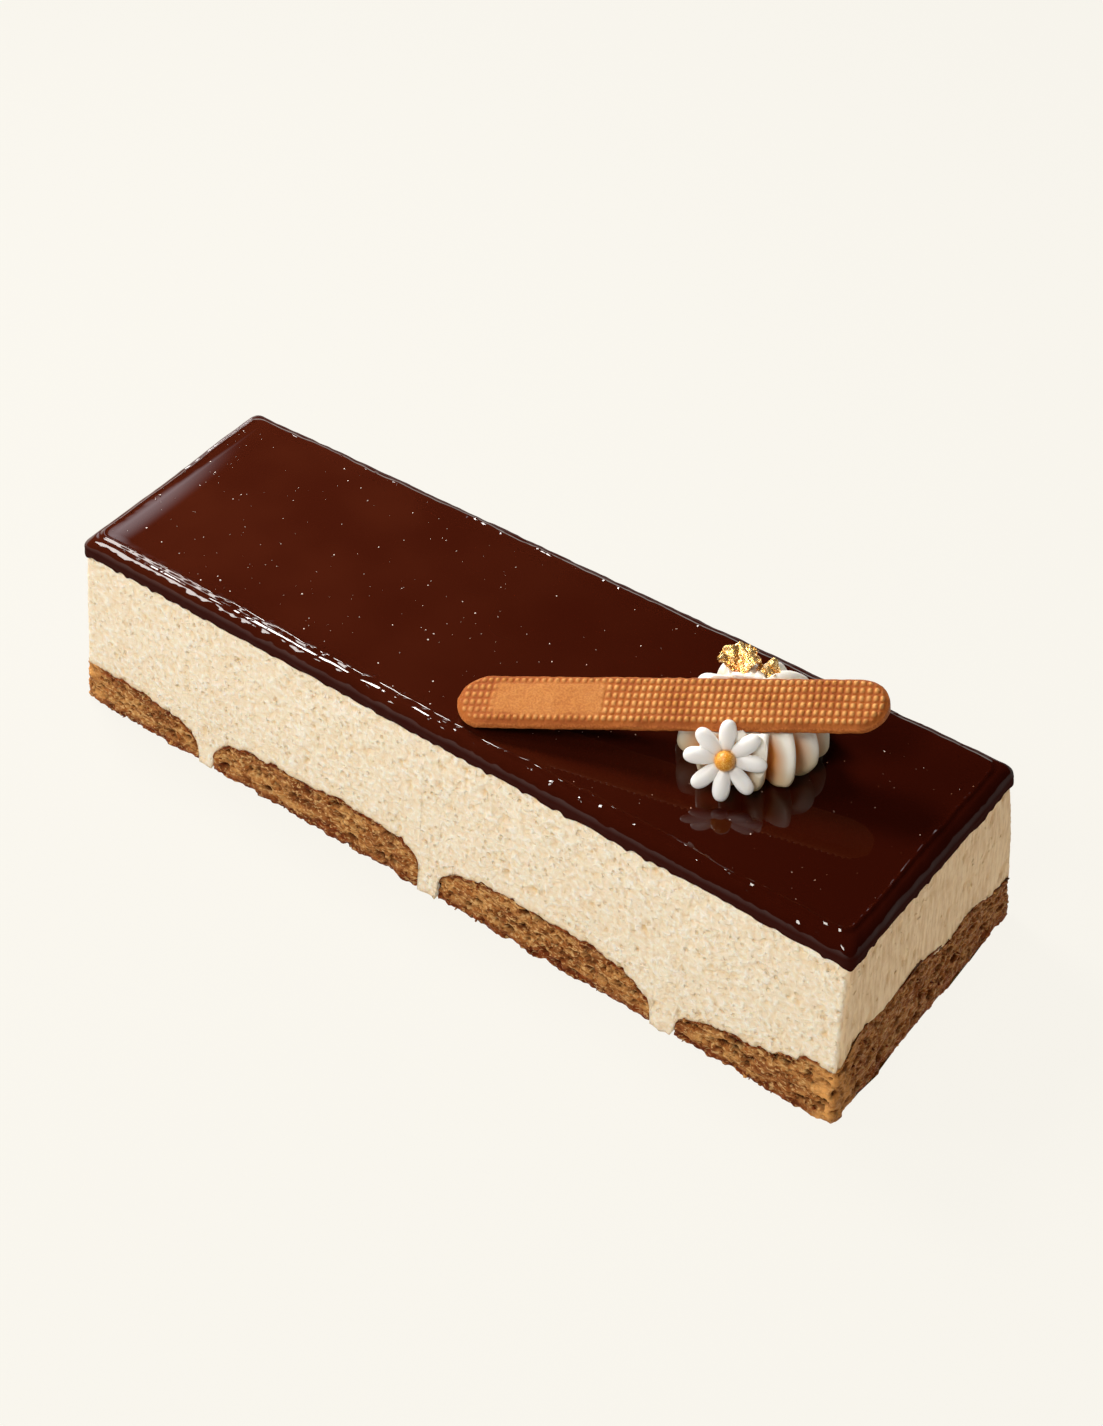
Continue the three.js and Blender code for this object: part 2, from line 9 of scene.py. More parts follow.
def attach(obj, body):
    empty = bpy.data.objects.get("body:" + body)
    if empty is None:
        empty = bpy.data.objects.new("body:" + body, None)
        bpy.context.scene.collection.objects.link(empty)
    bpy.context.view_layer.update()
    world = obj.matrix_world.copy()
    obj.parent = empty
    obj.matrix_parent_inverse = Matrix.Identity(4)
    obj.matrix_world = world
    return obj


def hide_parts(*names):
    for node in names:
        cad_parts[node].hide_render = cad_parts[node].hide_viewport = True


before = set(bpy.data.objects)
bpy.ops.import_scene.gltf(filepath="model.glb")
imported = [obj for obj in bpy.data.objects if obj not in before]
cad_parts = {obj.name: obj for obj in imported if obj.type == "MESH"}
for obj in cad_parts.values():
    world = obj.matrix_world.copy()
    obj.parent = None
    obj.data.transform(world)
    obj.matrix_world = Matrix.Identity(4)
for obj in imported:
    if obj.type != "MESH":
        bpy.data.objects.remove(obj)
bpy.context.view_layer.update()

mm = 0.001  # shapes are worked out in millimetres, places as rows of x, y and z, and stored in metres
print("frame loaded with", len(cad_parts), "nodes")


# A repeatable value from 0 to 1 for each whole-number cell: its three numbers and the seed, each times a
# large prime, are mixed bit by bit and cut to sixteen bits.
def scatter(cells, seed):
    mixed = (cells[:, 0] * 73856093) ^ (cells[:, 1] * 19349663) ^ (cells[:, 2] * 83492791) ^ (seed * 6291469)
    for _ in range(2):
        mixed = mixed & 0xffffffff
        mixed = ((mixed >> 15) ^ mixed) * 73244475
    return ((mixed >> 13) & 0xffff) / 65535


# Soft noise from 0 to 1: the values of a cell's eight corners, blended by eased shares of the way across.
def softNoise(places, size, seed):
    scaled = places / np.asarray(size, float)
    cell = np.floor(scaled).astype(np.int64)
    share = scaled - cell
    share = share * share * (3 - 2 * share)
    total = np.zeros(len(places))
    for corner in itertools.product((0, 1), repeat=3):
        weight = np.prod(np.where(corner, share, 1 - share), axis=1)
        total += weight * scatter(cell + corner, seed)
    return total


# Layers of soft noise, each half the size and half the strength of the one before, kept from 0 to 1.
def layeredNoise(places, size, layers, seed):
    size = np.asarray(size, float)
    parts = [softNoise(places, size / 2 ** k, seed + 31 * k) / 2 ** k for k in range(layers)]
    return sum(parts) / (2 - 2.0 ** (1 - layers))


# Places moved by soft noise, up to reach each way.
def warped(places, size, reach, seed):
    return places + reach * (2 * np.stack([softNoise(places, size, seed + k) for k in range(3)], axis=1) - 1)


# Depth from 0 to 1 of round pits, one to a cell in the given share of the cells: the deepest value of
# 1 - (distance / pit radius) squared over the 27 cells around. Radii are shares of the cell's size.
def pitDepth(places, size, share, radii, seed):
    scaled = places / np.asarray(size, float)
    home = np.floor(scaled).astype(np.int64)
    depth = np.zeros(len(places))
    for step in itertools.product((-1, 0, 1), repeat=3):
        cell = home + step
        centre = cell + 0.2 + 0.6 * np.stack([scatter(cell, seed + k) for k in (1, 2, 3)], axis=1)
        radius = radii[0] + (radii[1] - radii[0]) * scatter(cell, seed + 4)
        away = ((scaled - centre) ** 2).sum(axis=1) / radius ** 2
        depth = np.maximum(depth, np.where(scatter(cell, seed + 5) < share, 1 - away, 0))
    return depth


# A share that is 0 at low and 1 at high, eased between as 3s^2 - 2s^3. Low may be above high.
def ease(value, low, high):
    share = np.clip((value - low) / (high - low), 0, 1)
    return share * share * (3 - 2 * share)


# A straight blend from a to b.
def blend(a, b, share):
    return a + (b - a) * share


# Quads between rows of points, each row a closed ring, or open where wrap is False. Faces point out when
# a row's direction of travel, crossed with the way to the next row, does.
def gridFaces(rows, columns, wrap=True):
    first = np.arange(columns if wrap else columns - 1)
    after = (first + 1) % columns
    start = (np.arange(rows - 1) * columns)[:, None]
    corners = [start + first, start + after, start + columns + after, start + columns + first]
    return np.stack(corners, axis=-1).reshape(-1, 4)


# Closed rings of equal count as one skin: quads between rings and a fan round the middle of each end.
def ringSkin(rings):
    rows, columns = rings.shape[:2]
    places = np.concatenate([rings.reshape(-1, 3), [rings[0].mean(axis=0)], [rings[-1].mean(axis=0)]])
    first = np.arange(columns)
    after = (first + 1) % columns
    last = (rows - 1) * columns
    startFan = np.stack([np.full(columns, rows * columns), after, first], axis=1)
    endFan = np.stack([np.full(columns, rows * columns + 1), last + first, last + after], axis=1)
    return places, [gridFaces(rows, columns), startFan, endFan]


# Rings of a ball of radius 1, from its lowest point to its highest.
def ballRings(rows, columns, margin=0.03):
    swing = np.linspace(-math.pi / 2 + margin, math.pi / 2 - margin, rows)[:, None]
    around = np.linspace(0, 2 * math.pi, columns, endpoint=False)[None, :]
    x, y = np.cos(swing) * np.cos(around), np.cos(swing) * np.sin(around)
    return np.stack([x, y, np.sin(swing) + 0 * around], axis=-1)


# The skin of a box as a lattice: xs along it, ys across it and rows of shares up its walls. The top and
# bottom are divided into a few strips only, so along their ends one face takes several wall points.
# Gives the lattice place of each point, how many are on the walls, how many in a wall row, and the faces.
def boxSkin(xs, ys, rows, strips):
    nx, ny, nz, step = len(xs) - 1, len(ys) - 1, len(rows) - 1, (len(ys) - 1) // strips
    ringX = np.concatenate([xs[:-1], np.full(ny, xs[-1]), xs[:0:-1], np.full(ny, xs[0])])
    ringY = np.concatenate([np.full(nx, ys[0]), ys[:-1], np.full(nx, ys[-1]), ys[:0:-1]])
    ring = len(ringX)
    wall = np.stack([np.tile(ringX, nz + 1), np.tile(ringY, nz + 1), np.repeat(rows, ring)], axis=1)
    innerX, innerY = [part.ravel() for part in np.meshgrid(xs[1:-1], ys[step:-1:step])]
    levels = [np.stack([innerX, innerY, np.full(len(innerX), rows[end])], axis=1) for end in (0, -1)]
    faces = [gridFaces(nz + 1, ring)]
    for isTop in (0, 1):
        base = isTop * nz * ring
        table = np.zeros((strips + 1, nx + 1), np.int64)
        inside = np.arange(len(innerX)).reshape(strips - 1, nx - 1)
        table[1:-1, 1:-1] = len(wall) + isTop * len(innerX) + inside
        table[0] = base + np.arange(nx + 1)
        table[-1] = base + nx + ny + np.arange(nx, -1, -1)
        table[1:-1, -1] = base + nx + step * np.arange(1, strips)
        table[1:-1, 0] = base + 2 * nx + ny + step * np.arange(strips - 1, 0, -1)
        a, b, c, d = table[:-1, 1:-2], table[:-1, 2:-1], table[1:, 2:-1], table[1:, 1:-2]
        middle = np.stack([a, b, c, d], axis=-1).reshape(-1, 4)
        climb = np.arange(step + 1)
        right = np.concatenate([table[:-1, -2:-1], table[:-1, -1:] + climb, table[1:, -2:-1]], axis=1)
        down = base + (table[1:, :1] - base + climb) % ring
        left = np.concatenate([table[:-1, 1:2], table[1:, 1:2], down], axis=1)
        faces += [group if isTop else group[:, ::-1] for group in (middle, right, left)]
    return np.concatenate([wall, *levels]), len(wall), ring, faces


# Many small lumps as one mesh. Each is the same coarse ball, knocked out of shape and bent, then set on
# its own three half axes, which are rows of its 3 by 3 matrix, round its centre.
def lumps(centres, axes, squash, seed, bend=0.0, rows=5, columns=7):
    skin, groups = ringSkin(ballRings(rows, columns, 0.35))
    draw = np.random.default_rng(seed)
    local = skin[None] * (1 + squash * (draw.random((len(centres), len(skin), 1)) - 0.5))
    local[..., 1] += bend * local[..., 0] ** 2
    places = local @ axes + np.asarray(centres)[:, None, :]
    offsets = (np.arange(len(centres)) * len(skin))[:, None, None]
    faces = [(group[None] + offsets).reshape(-1, group.shape[1]) for group in groups]
    return places.reshape(-1, 3), faces


# One mesh object from places in millimetres and groups of equal-sided faces. Marks are named values on
# its points. Where flat is true its faces are shaded flat.
def makePiece(name, places, faces, material, node=None, marks=None, flat=False):
    corners = np.concatenate([group.ravel() for group in faces]).astype(np.int32)
    sides = np.concatenate([np.full(len(group), group.shape[1]) for group in faces])
    mesh = bpy.data.meshes.new(name)
    mesh.vertices.add(len(places))
    mesh.vertices.foreach_set("co", (places * mm).astype(np.float32).ravel())
    mesh.loops.add(len(corners))
    mesh.loops.foreach_set("vertex_index", corners)
    mesh.polygons.add(len(sides))
    mesh.polygons.foreach_set("loop_start", (np.cumsum(sides) - sides).astype(np.int32))
    mesh.polygons.foreach_set("use_smooth", np.full(len(sides), not flat))
    for mark, values in (marks or {}).items():
        mesh.attributes.new(mark, "FLOAT", "POINT").data.foreach_set("value", values.astype(np.float32))
    mesh.update(calc_edges=True)
    mesh.validate()
    piece = bpy.data.objects.new(name, mesh)
    bpy.context.scene.collection.objects.link(piece)
    mesh.materials.append(material)
    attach(piece, "root")
    if node:
        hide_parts(node)
    print("made", name, "with", int((sides - 2).sum()), "triangles")
    return piece


# A node's socket. Sums with it add Math nodes, so that shader maths reads as Python.
class Wire:
    def __init__(self, nodes, socket):
        self.nodes = nodes
        self.socket = socket

    def sum(self, operation, *values):
        return self.nodes.node("ShaderNodeMath", {"operation": operation}, dict(enumerate(values)))

    def __add__(self, other):
        return self.sum("ADD", self, other)

    def __radd__(self, other):
        return self.sum("ADD", other, self)

    def __sub__(self, other):
        return self.sum("SUBTRACT", self, other)

    def __rsub__(self, other):
        return self.sum("SUBTRACT", other, self)

    def __mul__(self, other):
        return self.sum("MULTIPLY", self, other)

    def __rmul__(self, other):
        return self.sum("MULTIPLY", other, self)

    def clamped(self):
        return self.nodes.node("ShaderNodeClamp", {}, {"Value": self})

    # 0 up to low, 1 from high, eased between
    def eased(self, low, high):
        values = {"Value": self, "From Min": low, "From Max": high}
        return self.nodes.node("ShaderNodeMapRange", {"interpolation_type": "SMOOTHSTEP"}, values)


# The nodes of a material or of the world.
class Nodes:
    def __init__(self, tree):
        self.tree = tree

    # one node from its type, its settings, and a value or a link for each socket
    def node(self, kind, settings, values, output=0):
        made = self.tree.nodes.new(kind)
        for setting, value in settings.items():
            setattr(made, setting, value)
        for socket, value in values.items():
            if isinstance(value, Wire):
                self.tree.links.new(value.socket, made.inputs[socket])
            else:
                made.inputs[socket].default_value = value
        return Wire(self, made.outputs[output])

    def mix(self, share, first, second):
        return self.node("ShaderNodeMix", {"data_type": "RGBA"}, {0: share, 6: first, 7: second}, 2)


# A material with one Principled shader, whose constants go straight on its sockets. Sizes are millimetres.
class Paint(Nodes):
    def __init__(self, name, **constants):
        self.material = bpy.data.materials.new(name)
        self.material.use_nodes = True
        super().__init__(self.material.node_tree)
        self.shader = next(node for node in self.tree.nodes if node.type == "BSDF_PRINCIPLED")
        for socket, value in constants.items():
            self.shader.inputs[socket.replace("_", " ")].default_value = value
        self.places = self.node("ShaderNodeTexCoord", {}, {}, "Object")

    # a named value that the mesh carries on its points
    def mark(self, name):
        return self.node("ShaderNodeAttribute", {"attribute_name": name}, {}, "Fac")

    def mapped(self, stretch, places=None):
        return self.node("ShaderNodeMapping", {}, {"Vector": places or self.places, "Scale": stretch})

    # places moved by noise, up to half of reach each way
    def warped(self, size, reach):
        values = {"Vector": self.places, "Scale": 1 / (size * mm)}
        pushed = self.node("ShaderNodeTexNoise", {}, values, "Color")
        values = {0: pushed, 1: (reach * mm,) * 3, 2: self.places}
        return self.node("ShaderNodeVectorMath", {"operation": "MULTIPLY_ADD"}, values)

    # noise from 0 to 1 whose patches are about this size
    def noise(self, size, detail=2.0, places=None):
        values = {"Vector": places or self.places, "Scale": 1 / (size * mm), "Detail": detail}
        return self.node("ShaderNodeTexNoise", {}, values, "Fac")

    # distance from the nearest of scattered points, 0 at a point
    def cells(self, size, places=None):
        values = {"Vector": places or self.places, "Scale": 1 / (size * mm)}
        return self.node("ShaderNodeTexVoronoi", {}, values, "Distance")

    def feed(self, socket, wire):
        self.tree.links.new(wire.socket, self.shader.inputs[socket])

    # a height as relief that is only shaded
    def bump(self, height):
        self.feed("Normal", self.node("ShaderNodeBump", {}, {"Height": height, "Distance": mm}, "Normal"))


# A colour as it looks on a screen, 0 to 255, as the linear values that shaders take.
def tint(red, green, blue):
    parts = [value / 255 for value in (red, green, blue)]
    linear = [part / 12.92 if part <= 0.04045 else ((part + 0.055) / 1.055) ** 2.4 for part in parts]
    return (*linear, 1.0)


# The cut bar, as in the frame.
bar = {
    "baseHalfLength": 60.9,
    "topHalfLength": 59.44,
    "baseHalfWidth": 20.46,
    "topHalfWidth": 17.73,
    "widening": 0.035,
    "height": 25.0,
    "edgeRadius": 0.9,
    "scatterReach": (60.4, 20.2),
}

# The ladyfingers from left to right. A crest lists the heights that a cut end shows, from front to back.
fingers = [
    {"start": -74.2, "end": -39.7, "height": 6.3, "lean": -0.02, "cutSide": -1,
     "crest": [6.2, 7.6, 9.2, 8.3, 9.6, 8.5, 7.2, 6.8]},
    {"start": -37.1, "end": -1.6, "height": 6.9, "lean": 0.02, "rightRound": 6},
    {"start": 1.5, "end": 34.6, "height": 6.9, "lean": -0.06},
    {"start": 38.3, "end": 72.6, "height": 5.9, "lean": 0.02, "cutSide": 1,
     "crest": [8.2, 11.7, 10.7, 11.3, 9.1, 9.9, 8.3, 7.1]},
]

# Their outline: how square the arch is, how far noise moves it, and how far in and out a crest reaches.
fingerOutline = {
    "round": 3.4,
    "sideways": 0.9,
    "broadWander": 0.4,
    "middleWander": 0.5,
    "fineWander": 0.9,
    "crestReach": 11.0,
    "crestMargin": 1.5,
}


# Half length and half width at a height, blended from the base to the top, because the sides lean in.
def halfLengthAt(z):
    return blend(bar["baseHalfLength"], bar["topHalfLength"], z / bar["height"])


def halfWidthAt(z):
    return blend(bar["baseHalfWidth"], bar["topHalfWidth"], z / bar["height"])


# The bar is wider towards its right end, by a share of x.
def widened(x, y):
    return y * (1 + bar["widening"] * x / bar["baseHalfLength"])


# Height of a ladyfinger's top: a superellipse arch over its width, times a height that leans to one side,
# wanders by noise and, near a cut end, swells to the crest list read from front to back. The outline is
# made ragged by noise that moves it sideways and up.
def fingerTop(finger, x, y):
    flat = np.stack([x, y, 0 * x], axis=1)
    ragged = fingerOutline["sideways"] * (layeredNoise(flat, 1.4, 2, 131) - 0.5)
    middle = (finger["start"] + finger["end"]) / 2
    across = np.clip((x + ragged - middle) / (finger["end"] - middle), -1, 1)
    power = np.where(across > 0, finger.get("rightRound", fingerOutline["round"]), fingerOutline["round"])
    arch = (1 - np.abs(across) ** power) ** (1 / power)
    height = finger["height"] * (1 + finger["lean"] * across)
    height = height + fingerOutline["broadWander"] * (softNoise(flat, 6, 5) - 0.5)
    height = height + fingerOutline["fineWander"] * (layeredNoise(flat, 1.2, 2, 137) - 0.5)
    height = height + fingerOutline["middleWander"] * (softNoise(flat, 3.1, 139) - 0.5)
    if "crest" in finger:
        crest = np.array(finger["crest"])
        reach = bar["baseHalfWidth"] + fingerOutline["crestMargin"]
        along = np.clip((y + reach) / (2 * reach), 0, 1) * (len(crest) - 1)
        first = np.minimum(along.astype(int), len(crest) - 2)
        level = blend(crest[first], crest[first + 1], ease(along - first, 0, 1))
        nearEnd = finger["cutSide"] * x - (bar["topHalfLength"] - fingerOutline["crestReach"])
        height = height + ease(nearEnd, 0, fingerOutline["crestReach"]) * (level - finger["height"])
    return arch * height


# The highest of the ladyfingers at each place.
def fingersTop(x, y):
    return np.max([fingerTop(finger, x, y) for finger in fingers], axis=0)


# Bends a box's corners to round ones: in the corner square, the larger distance from the arc's middle
# becomes the distance along the same direction. Also gives the way that each place faces.
def roundCorners(x, y, halfLength, halfWidth, radius):
    overX, overY = np.abs(x) - halfLength + radius, np.abs(y) - halfWidth + radius
    far = np.maximum(np.hypot(overX, overY), 1e-9)
    corner = (overX > 0) & (overY > 0)
    scale = np.where(corner, np.maximum(overX, overY) / far, 1)
    outX = np.where(corner, np.sign(x) * (halfLength - radius + overX * scale), x)
    outY = np.where(corner, np.sign(y) * (halfWidth - radius + overY * scale), y)
    onLong = overY >= overX
    facing = np.stack([np.where(corner, np.sign(x) * overX / far, np.where(onLong, 0, np.sign(x))),
                       np.where(corner, np.sign(y) * overY / far, np.where(onLong, np.sign(y), 0))], axis=1)
    return outX, outY, facing


# Places along the bar at an even step, with a few more close to each round end of a ladyfinger.
def stepsAlong(low, high, step, extra=(0.004, 0.02, 0.06, 0.12)):
    even = np.linspace(low, high, int(round((high - low) / step)) + 1)
    starts = np.add.outer([finger["start"] for finger in fingers], extra)
    ends = np.subtract.outer([finger["end"] for finger in fingers], extra)
    more = np.concatenate([starts.ravel(), ends.ravel()])
    more = more[(more > low + step / 2) & (more < high - step / 2)]
    return np.unique(np.concatenate([even, more]))


# A box's lattice place put on the bar: x and y shrink with height as the cut sides lean in. Only the
# last stretch of x is squeezed, so that the ends of the ladyfingers stay where they are. Also gives the
# way that each place faces.
def leanIn(x, y, z):
    squeeze = ease(np.abs(x), 45, bar["baseHalfLength"])
    x = x + np.sign(x) * squeeze * (halfLengthAt(z) - bar["baseHalfLength"])
    y = y * halfWidthAt(z) / bar["baseHalfWidth"]
    x, y, facing = roundCorners(x, y, halfLengthAt(z), halfWidthAt(z), bar["edgeRadius"])
    return x, widened(x, y), facing


# Random places round the foot of the bar, the given share of them on its two ends.
def roundTheBar(draw, count, endShare):
    onEnd = draw.random(count) < endShare
    side = np.where(draw.random(count) < 0.5, -1.0, 1.0)
    reachX, reachY = bar["scatterReach"]
    x = np.where(onEnd, side * bar["baseHalfLength"], draw.uniform(-reachX, reachX, count))
    y = np.where(onEnd, draw.uniform(-reachY, reachY, count), side * bar["baseHalfWidth"])
    return x, y


# Mascarpone cream. Swell, lumps, flecks and pits are the depths of its relief. Far above is the height over
# the ladyfingers that is marked where none is near.
cream = {
    "step": 0.3,
    "rows": 62,
    "strips": 10,
    "pointsAcross": 131,
    "underGlaze": 0.05,
    "roughLow": 0.42,
    "roughUp": 0.012,
    "roughRight": 0.004,
    "roughPatches": 1.0,
    "endCalm": 0.6,
    "strokeStretch": 0.62,
    "strokeSlant": 0.3,
    "swell": 0.22,
    "lumps": 0.26,
    "flecks": 0.13,
    "bigPits": 0.32,
    "smallPits": 0.2,
    "footBulge": 0.5,
    "smear": 0.42,
    "curls": 1500,
    "farAbove": 9.0,
}


# Relief of the cut cream: broad swells, torn lumps, thin raised flecks and two sizes of air pit. It is
# rougher towards the top and the right, and drawn into slanted strokes on the two ends.
def creamRelief(places, facing):
    x, y, z = places.T
    onEnd = ease(np.abs(facing[:, 0]), 0.5, 0.9)
    rough = cream["roughLow"] + cream["roughUp"] * z + cream["roughRight"] * x
    rough = rough + cream["roughPatches"] * (softNoise(places, (11, 11, 7), 3) - 0.5)
    rough = np.clip(rough, 0.10, 1.15) * (1 - cream["endCalm"] * onEnd)
    slanted = places.copy()
    slanted[:, 2] = z * (1 - cream["strokeStretch"] * onEnd)
    slanted[:, 1] = y - cream["strokeSlant"] * z * onEnd
    slanted = warped(slanted, 1.1, 0.28, 151)
    swell = cream["swell"] * (softNoise(places, 6, 7) - 0.5)
    lump = cream["lumps"] * rough * (layeredNoise(slanted, (1.3, 1.3, 1.0), 3, 11) - 0.5)
    tall = 1 - np.abs(2 * softNoise(slanted, (0.62, 0.62, 0.95), 17) - 1)
    wide = 1 - np.abs(2 * softNoise(slanted, (1.1, 1.1, 0.55), 19) - 1)
    flecks = cream["flecks"] * rough * (tall ** 3 + wide ** 3 - 0.5)
    big = pitDepth(slanted, (2.1, 2.1, 2.5), 0.22 + 0.25 * rough, (0.14, 0.3), 41)
    small = pitDepth(slanted, (0.95, 0.95, 1.25), 0.24 + 0.24 * rough, (0.22, 0.46), 61)
    pit = np.clip(np.maximum(big * 1.1, small * 0.8), 0, 1)
    height = swell + lump + flecks - cream["bigPits"] * big ** 0.8 - cream["smallPits"] * small ** 0.8
    # pit and peak go to the paint: pits are tanned as painted shade, lumps and flecks lightened as painted
    # highlight
    peak = np.clip(0.5 + 1.3 * (lump + flecks) / cream["lumps"], 0, 1)
    return height, pit, peak


# The cream is a box skin from the ladyfingers up to the glaze, whose wall points go out by the relief. The
# foot of each gap between ladyfingers bulges unevenly, and cream smears down over the crust by noise.
def makeCream(material):
    xs = stepsAlong(-bar["baseHalfLength"], bar["baseHalfLength"], cream["step"])
    ys = np.linspace(-bar["baseHalfWidth"], bar["baseHalfWidth"], cream["pointsAcross"])
    rows = np.linspace(0, 1, cream["rows"] + 1)
    lattice, walls, _, faces = boxSkin(xs, ys, rows, cream["strips"])
    x, y, share = lattice.T
    foot = fingersTop(x, y)
    z = foot + share * (bar["height"] - cream["underGlaze"] - foot)
    px, py, facing = leanIn(x, y, z)
    places = np.stack([px, py, z], axis=1)
    height, pit, peak = creamRelief(places, facing)
    onWall = np.arange(len(places)) < walls
    inGap = np.clip(1 - foot / 2.5, 0, 1) * ease(z, 3.5, 0.8)
    height = height + cream["footBulge"] * inGap * (layeredNoise(places, 1.2, 2, 23) - 0.35)
    atFoot = ease(share, 0.06, 0.0) * (foot > 1.0)
    smear = cream["smear"] * (layeredNoise(places, 1.1, 2, 29) - 0.42) * atFoot
    places[:, :2] += facing * (height * onWall)[:, None]
    places[:, 2] -= smear * onWall
    above = np.where(onWall, z - foot, cream["farAbove"])
    # pit, peak and onEnd carry the painted shade, the painted highlight and the end face's painted warm
    # shade
    marks = {"pit": pit, "peak": peak, "onEnd": ease(facing[:, 0], 0.3, 0.95) * onWall, "above": above}
    return makePiece("creamLayer", places, faces, material, "mascarpone_cream", marks)


# Torn curls of cream that lie on the cut sides: bent lumps, each with its long axis at a random slant in
# the surface. More of them lie towards the top and the right, where the cream is rougher.
def makeCurls(material):
    draw = np.random.default_rng(12)
    count = cream["curls"]
    x, y = roundTheBar(draw, count, 0.12)
    foot = fingersTop(x, y)
    z = foot + 0.5 + (bar["height"] - 1.3 - foot) * draw.random(count) ** 0.8
    keep = draw.random(count) < 0.25 + 0.35 * z / bar["height"] + 0.25 * (x + 60) / 120
    x, y, z = x[keep], y[keep], z[keep]
    px, py, facing = leanIn(x, y, z)
    places = np.stack([px, py, z], axis=1)
    height, _, _ = creamRelief(places, facing)
    places[:, :2] += facing * (height - 0.02)[:, None]
    out = np.stack([facing[:, 0], facing[:, 1], 0 * z], axis=1)
    level = np.stack([-facing[:, 1], facing[:, 0], 0 * z], axis=1)
    up = np.array([0.0, 0.0, 1.0])
    slant = draw.uniform(0, math.pi, len(x))[:, None]
    along = level * np.cos(slant) + up * np.sin(slant)
    across = up * np.cos(slant) - level * np.sin(slant)
    long = draw.uniform(0.14, 0.4, len(x))[:, None]
    wide = draw.uniform(0.06, 0.12, len(x))[:, None]
    axes = np.stack([along * long, across * wide, out * wide], axis=1)
    skin, faces = lumps(places, axes, 0.5, 13, bend=1.3)
    points = len(skin) // len(x)
    onEnd = np.repeat(ease(facing[:, 0], 0.3, 0.95), points)
    # the curls are marked high in peak, so they take the painted highlight, and those on the end the painted
    # warm shade
    marks = {"pit": 0 * onEnd, "peak": 0 * onEnd + 0.85, "onEnd": onEnd,
             "above": 0 * onEnd + cream["farAbove"]}
    return makePiece("creamFlecks", skin, faces, material, None, marks)


# The cut cream is foam: a fine noise that is painted pale as highlight where it is high and tan as shade
# where it is low, on a pale body, with round air pits at the middles of cells that are painted tan as shade.
# Raised lumps and flecks are painted paler as highlight. The end face takes a warmer tint as painted shade,
# streaked by downward strokes.
def creamPaint():
    paint = Paint("cutCream", Roughness=0.5, Specular_IOR_Level=0.08, Subsurface_Weight=0.15,
                  Subsurface_Scale=0.0006, Subsurface_Radius=(1.0, 0.6, 0.3))
    pit, peak, onEnd, above = [paint.mark(name) for name in ("pit", "peak", "onEnd", "above")]
    places = paint.warped(0.8, 0.5)
    foam, patch = paint.noise(0.72, 2.5, places), paint.noise(5.0, 2)
    hole = (1 - paint.cells(1.0, places).eased(0.1, 0.36)) * paint.noise(2.0, 2).eased(0.42, 0.58)
    rough = (0.45 + patch * 0.7) * (1 - onEnd * 0.75)
    low = (1 - foam.eased(0.32, 0.5)) * rough
    high = foam.eased(0.5, 0.68) * rough
    strokes = paint.noise(0.5, 3, paint.mapped((1, 0.9, 0.16)))
    body = paint.mix(patch, tint(242, 223, 193), tint(247, 231, 205))
    # painted highlight on the raised lumps and flecks that peak marks
    body = paint.mix(((peak - 0.45) * 1.2).clamped(), body, tint(250, 237, 213))
    # painted highlight on the high points of the foam, which the bump raises too
    body = paint.mix((high * 1.1).clamped(), body, tint(253, 245, 229))
    # painted shade: tan in the low foam, in the pits and in the air holes
    body = paint.mix((low * 0.36 + pit * 0.6 + hole * rough * 0.5).clamped(), body, tint(230, 190, 128))
    # painted warm shade on the end face, streaked by downward strokes
    warmEndShade = paint.mix(strokes.eased(0.3, 0.7), tint(230, 188, 138), tint(255, 220, 174))
    body = paint.mix(onEnd * 0.92, body, warmEndShade)
    foot = (1 - above.eased(0.1, 1.1)) * (0.25 + patch * 0.3)
    paint.feed("Base Color", paint.mix(foot, body, tint(222, 188, 140)))
    grain = foam * rough * 0.42 - hole * rough * 0.22 + strokes * onEnd * 0.05
    paint.bump(grain + paint.noise(0.14, 2) * 0.03)
    return paint.material


# The cut crumb and the crust of the ladyfingers.
sponge = {
    "step": 0.17,
    "rows": 44,
    "strips": 8,
    "pointsPerStrip": 30,
    "holes": 1.15,
    "pores": 0.55,
    "grit": 0.34,
    "lumps": 0.6,
    "chips": 0.45,
    "footGap": 0.5,
    "crustRim": 0.7,
    "bottomCrust": 2.1,
    "crumbs": 420,
}


# Relief of the cut crumb: large and small holes and grit, drawn out along the bar and shallower in the
# crust. Marks how deep a place lies in a hole, and how much of the crust colour it has: near the outline
# and in the bottom band.
def spongeRelief(places, z, top):
    wander = softNoise(places, 2.2, 71)
    rim = ease(top - z, sponge["crustRim"] * (0.5 + wander), 0.1)
    band = ease(z, sponge["bottomCrust"] * (0.6 + 0.9 * softNoise(places, (5, 5, 2), 73)), 0.4)
    crust = np.clip(np.maximum(rim, band), 0, 1)
    looseness = 1 - 0.68 * crust
    streaked = warped(places, 1.2, 0.3, 161)
    holes = pitDepth(streaked, (2.4, 2.4, 1.3), 0.62, (0.22, 0.5), 81)
    pores = pitDepth(streaked, (0.95, 0.95, 0.6), 0.62, (0.28, 0.6), 91)
    grit = layeredNoise(places, (0.6, 0.6, 0.45), 2, 97) - 0.5
    lump = layeredNoise(streaked, (1.7, 1.7, 0.8), 2, 103) - 0.5
    height = sponge["grit"] * grit * (1 + 0.5 * crust) + sponge["lumps"] * lump + 0.12 * crust
    height -= (sponge["holes"] * holes ** 0.8 + sponge["pores"] * pores ** 0.8) * looseness
    # pit is how deep a place lies in a hole; the paint darkens it as painted shade
    pit = np.clip((1.2 * holes + 0.75 * pores) * looseness - 0.6 * grit - 0.5 * lump, 0, 1)
    return height, pit, crust


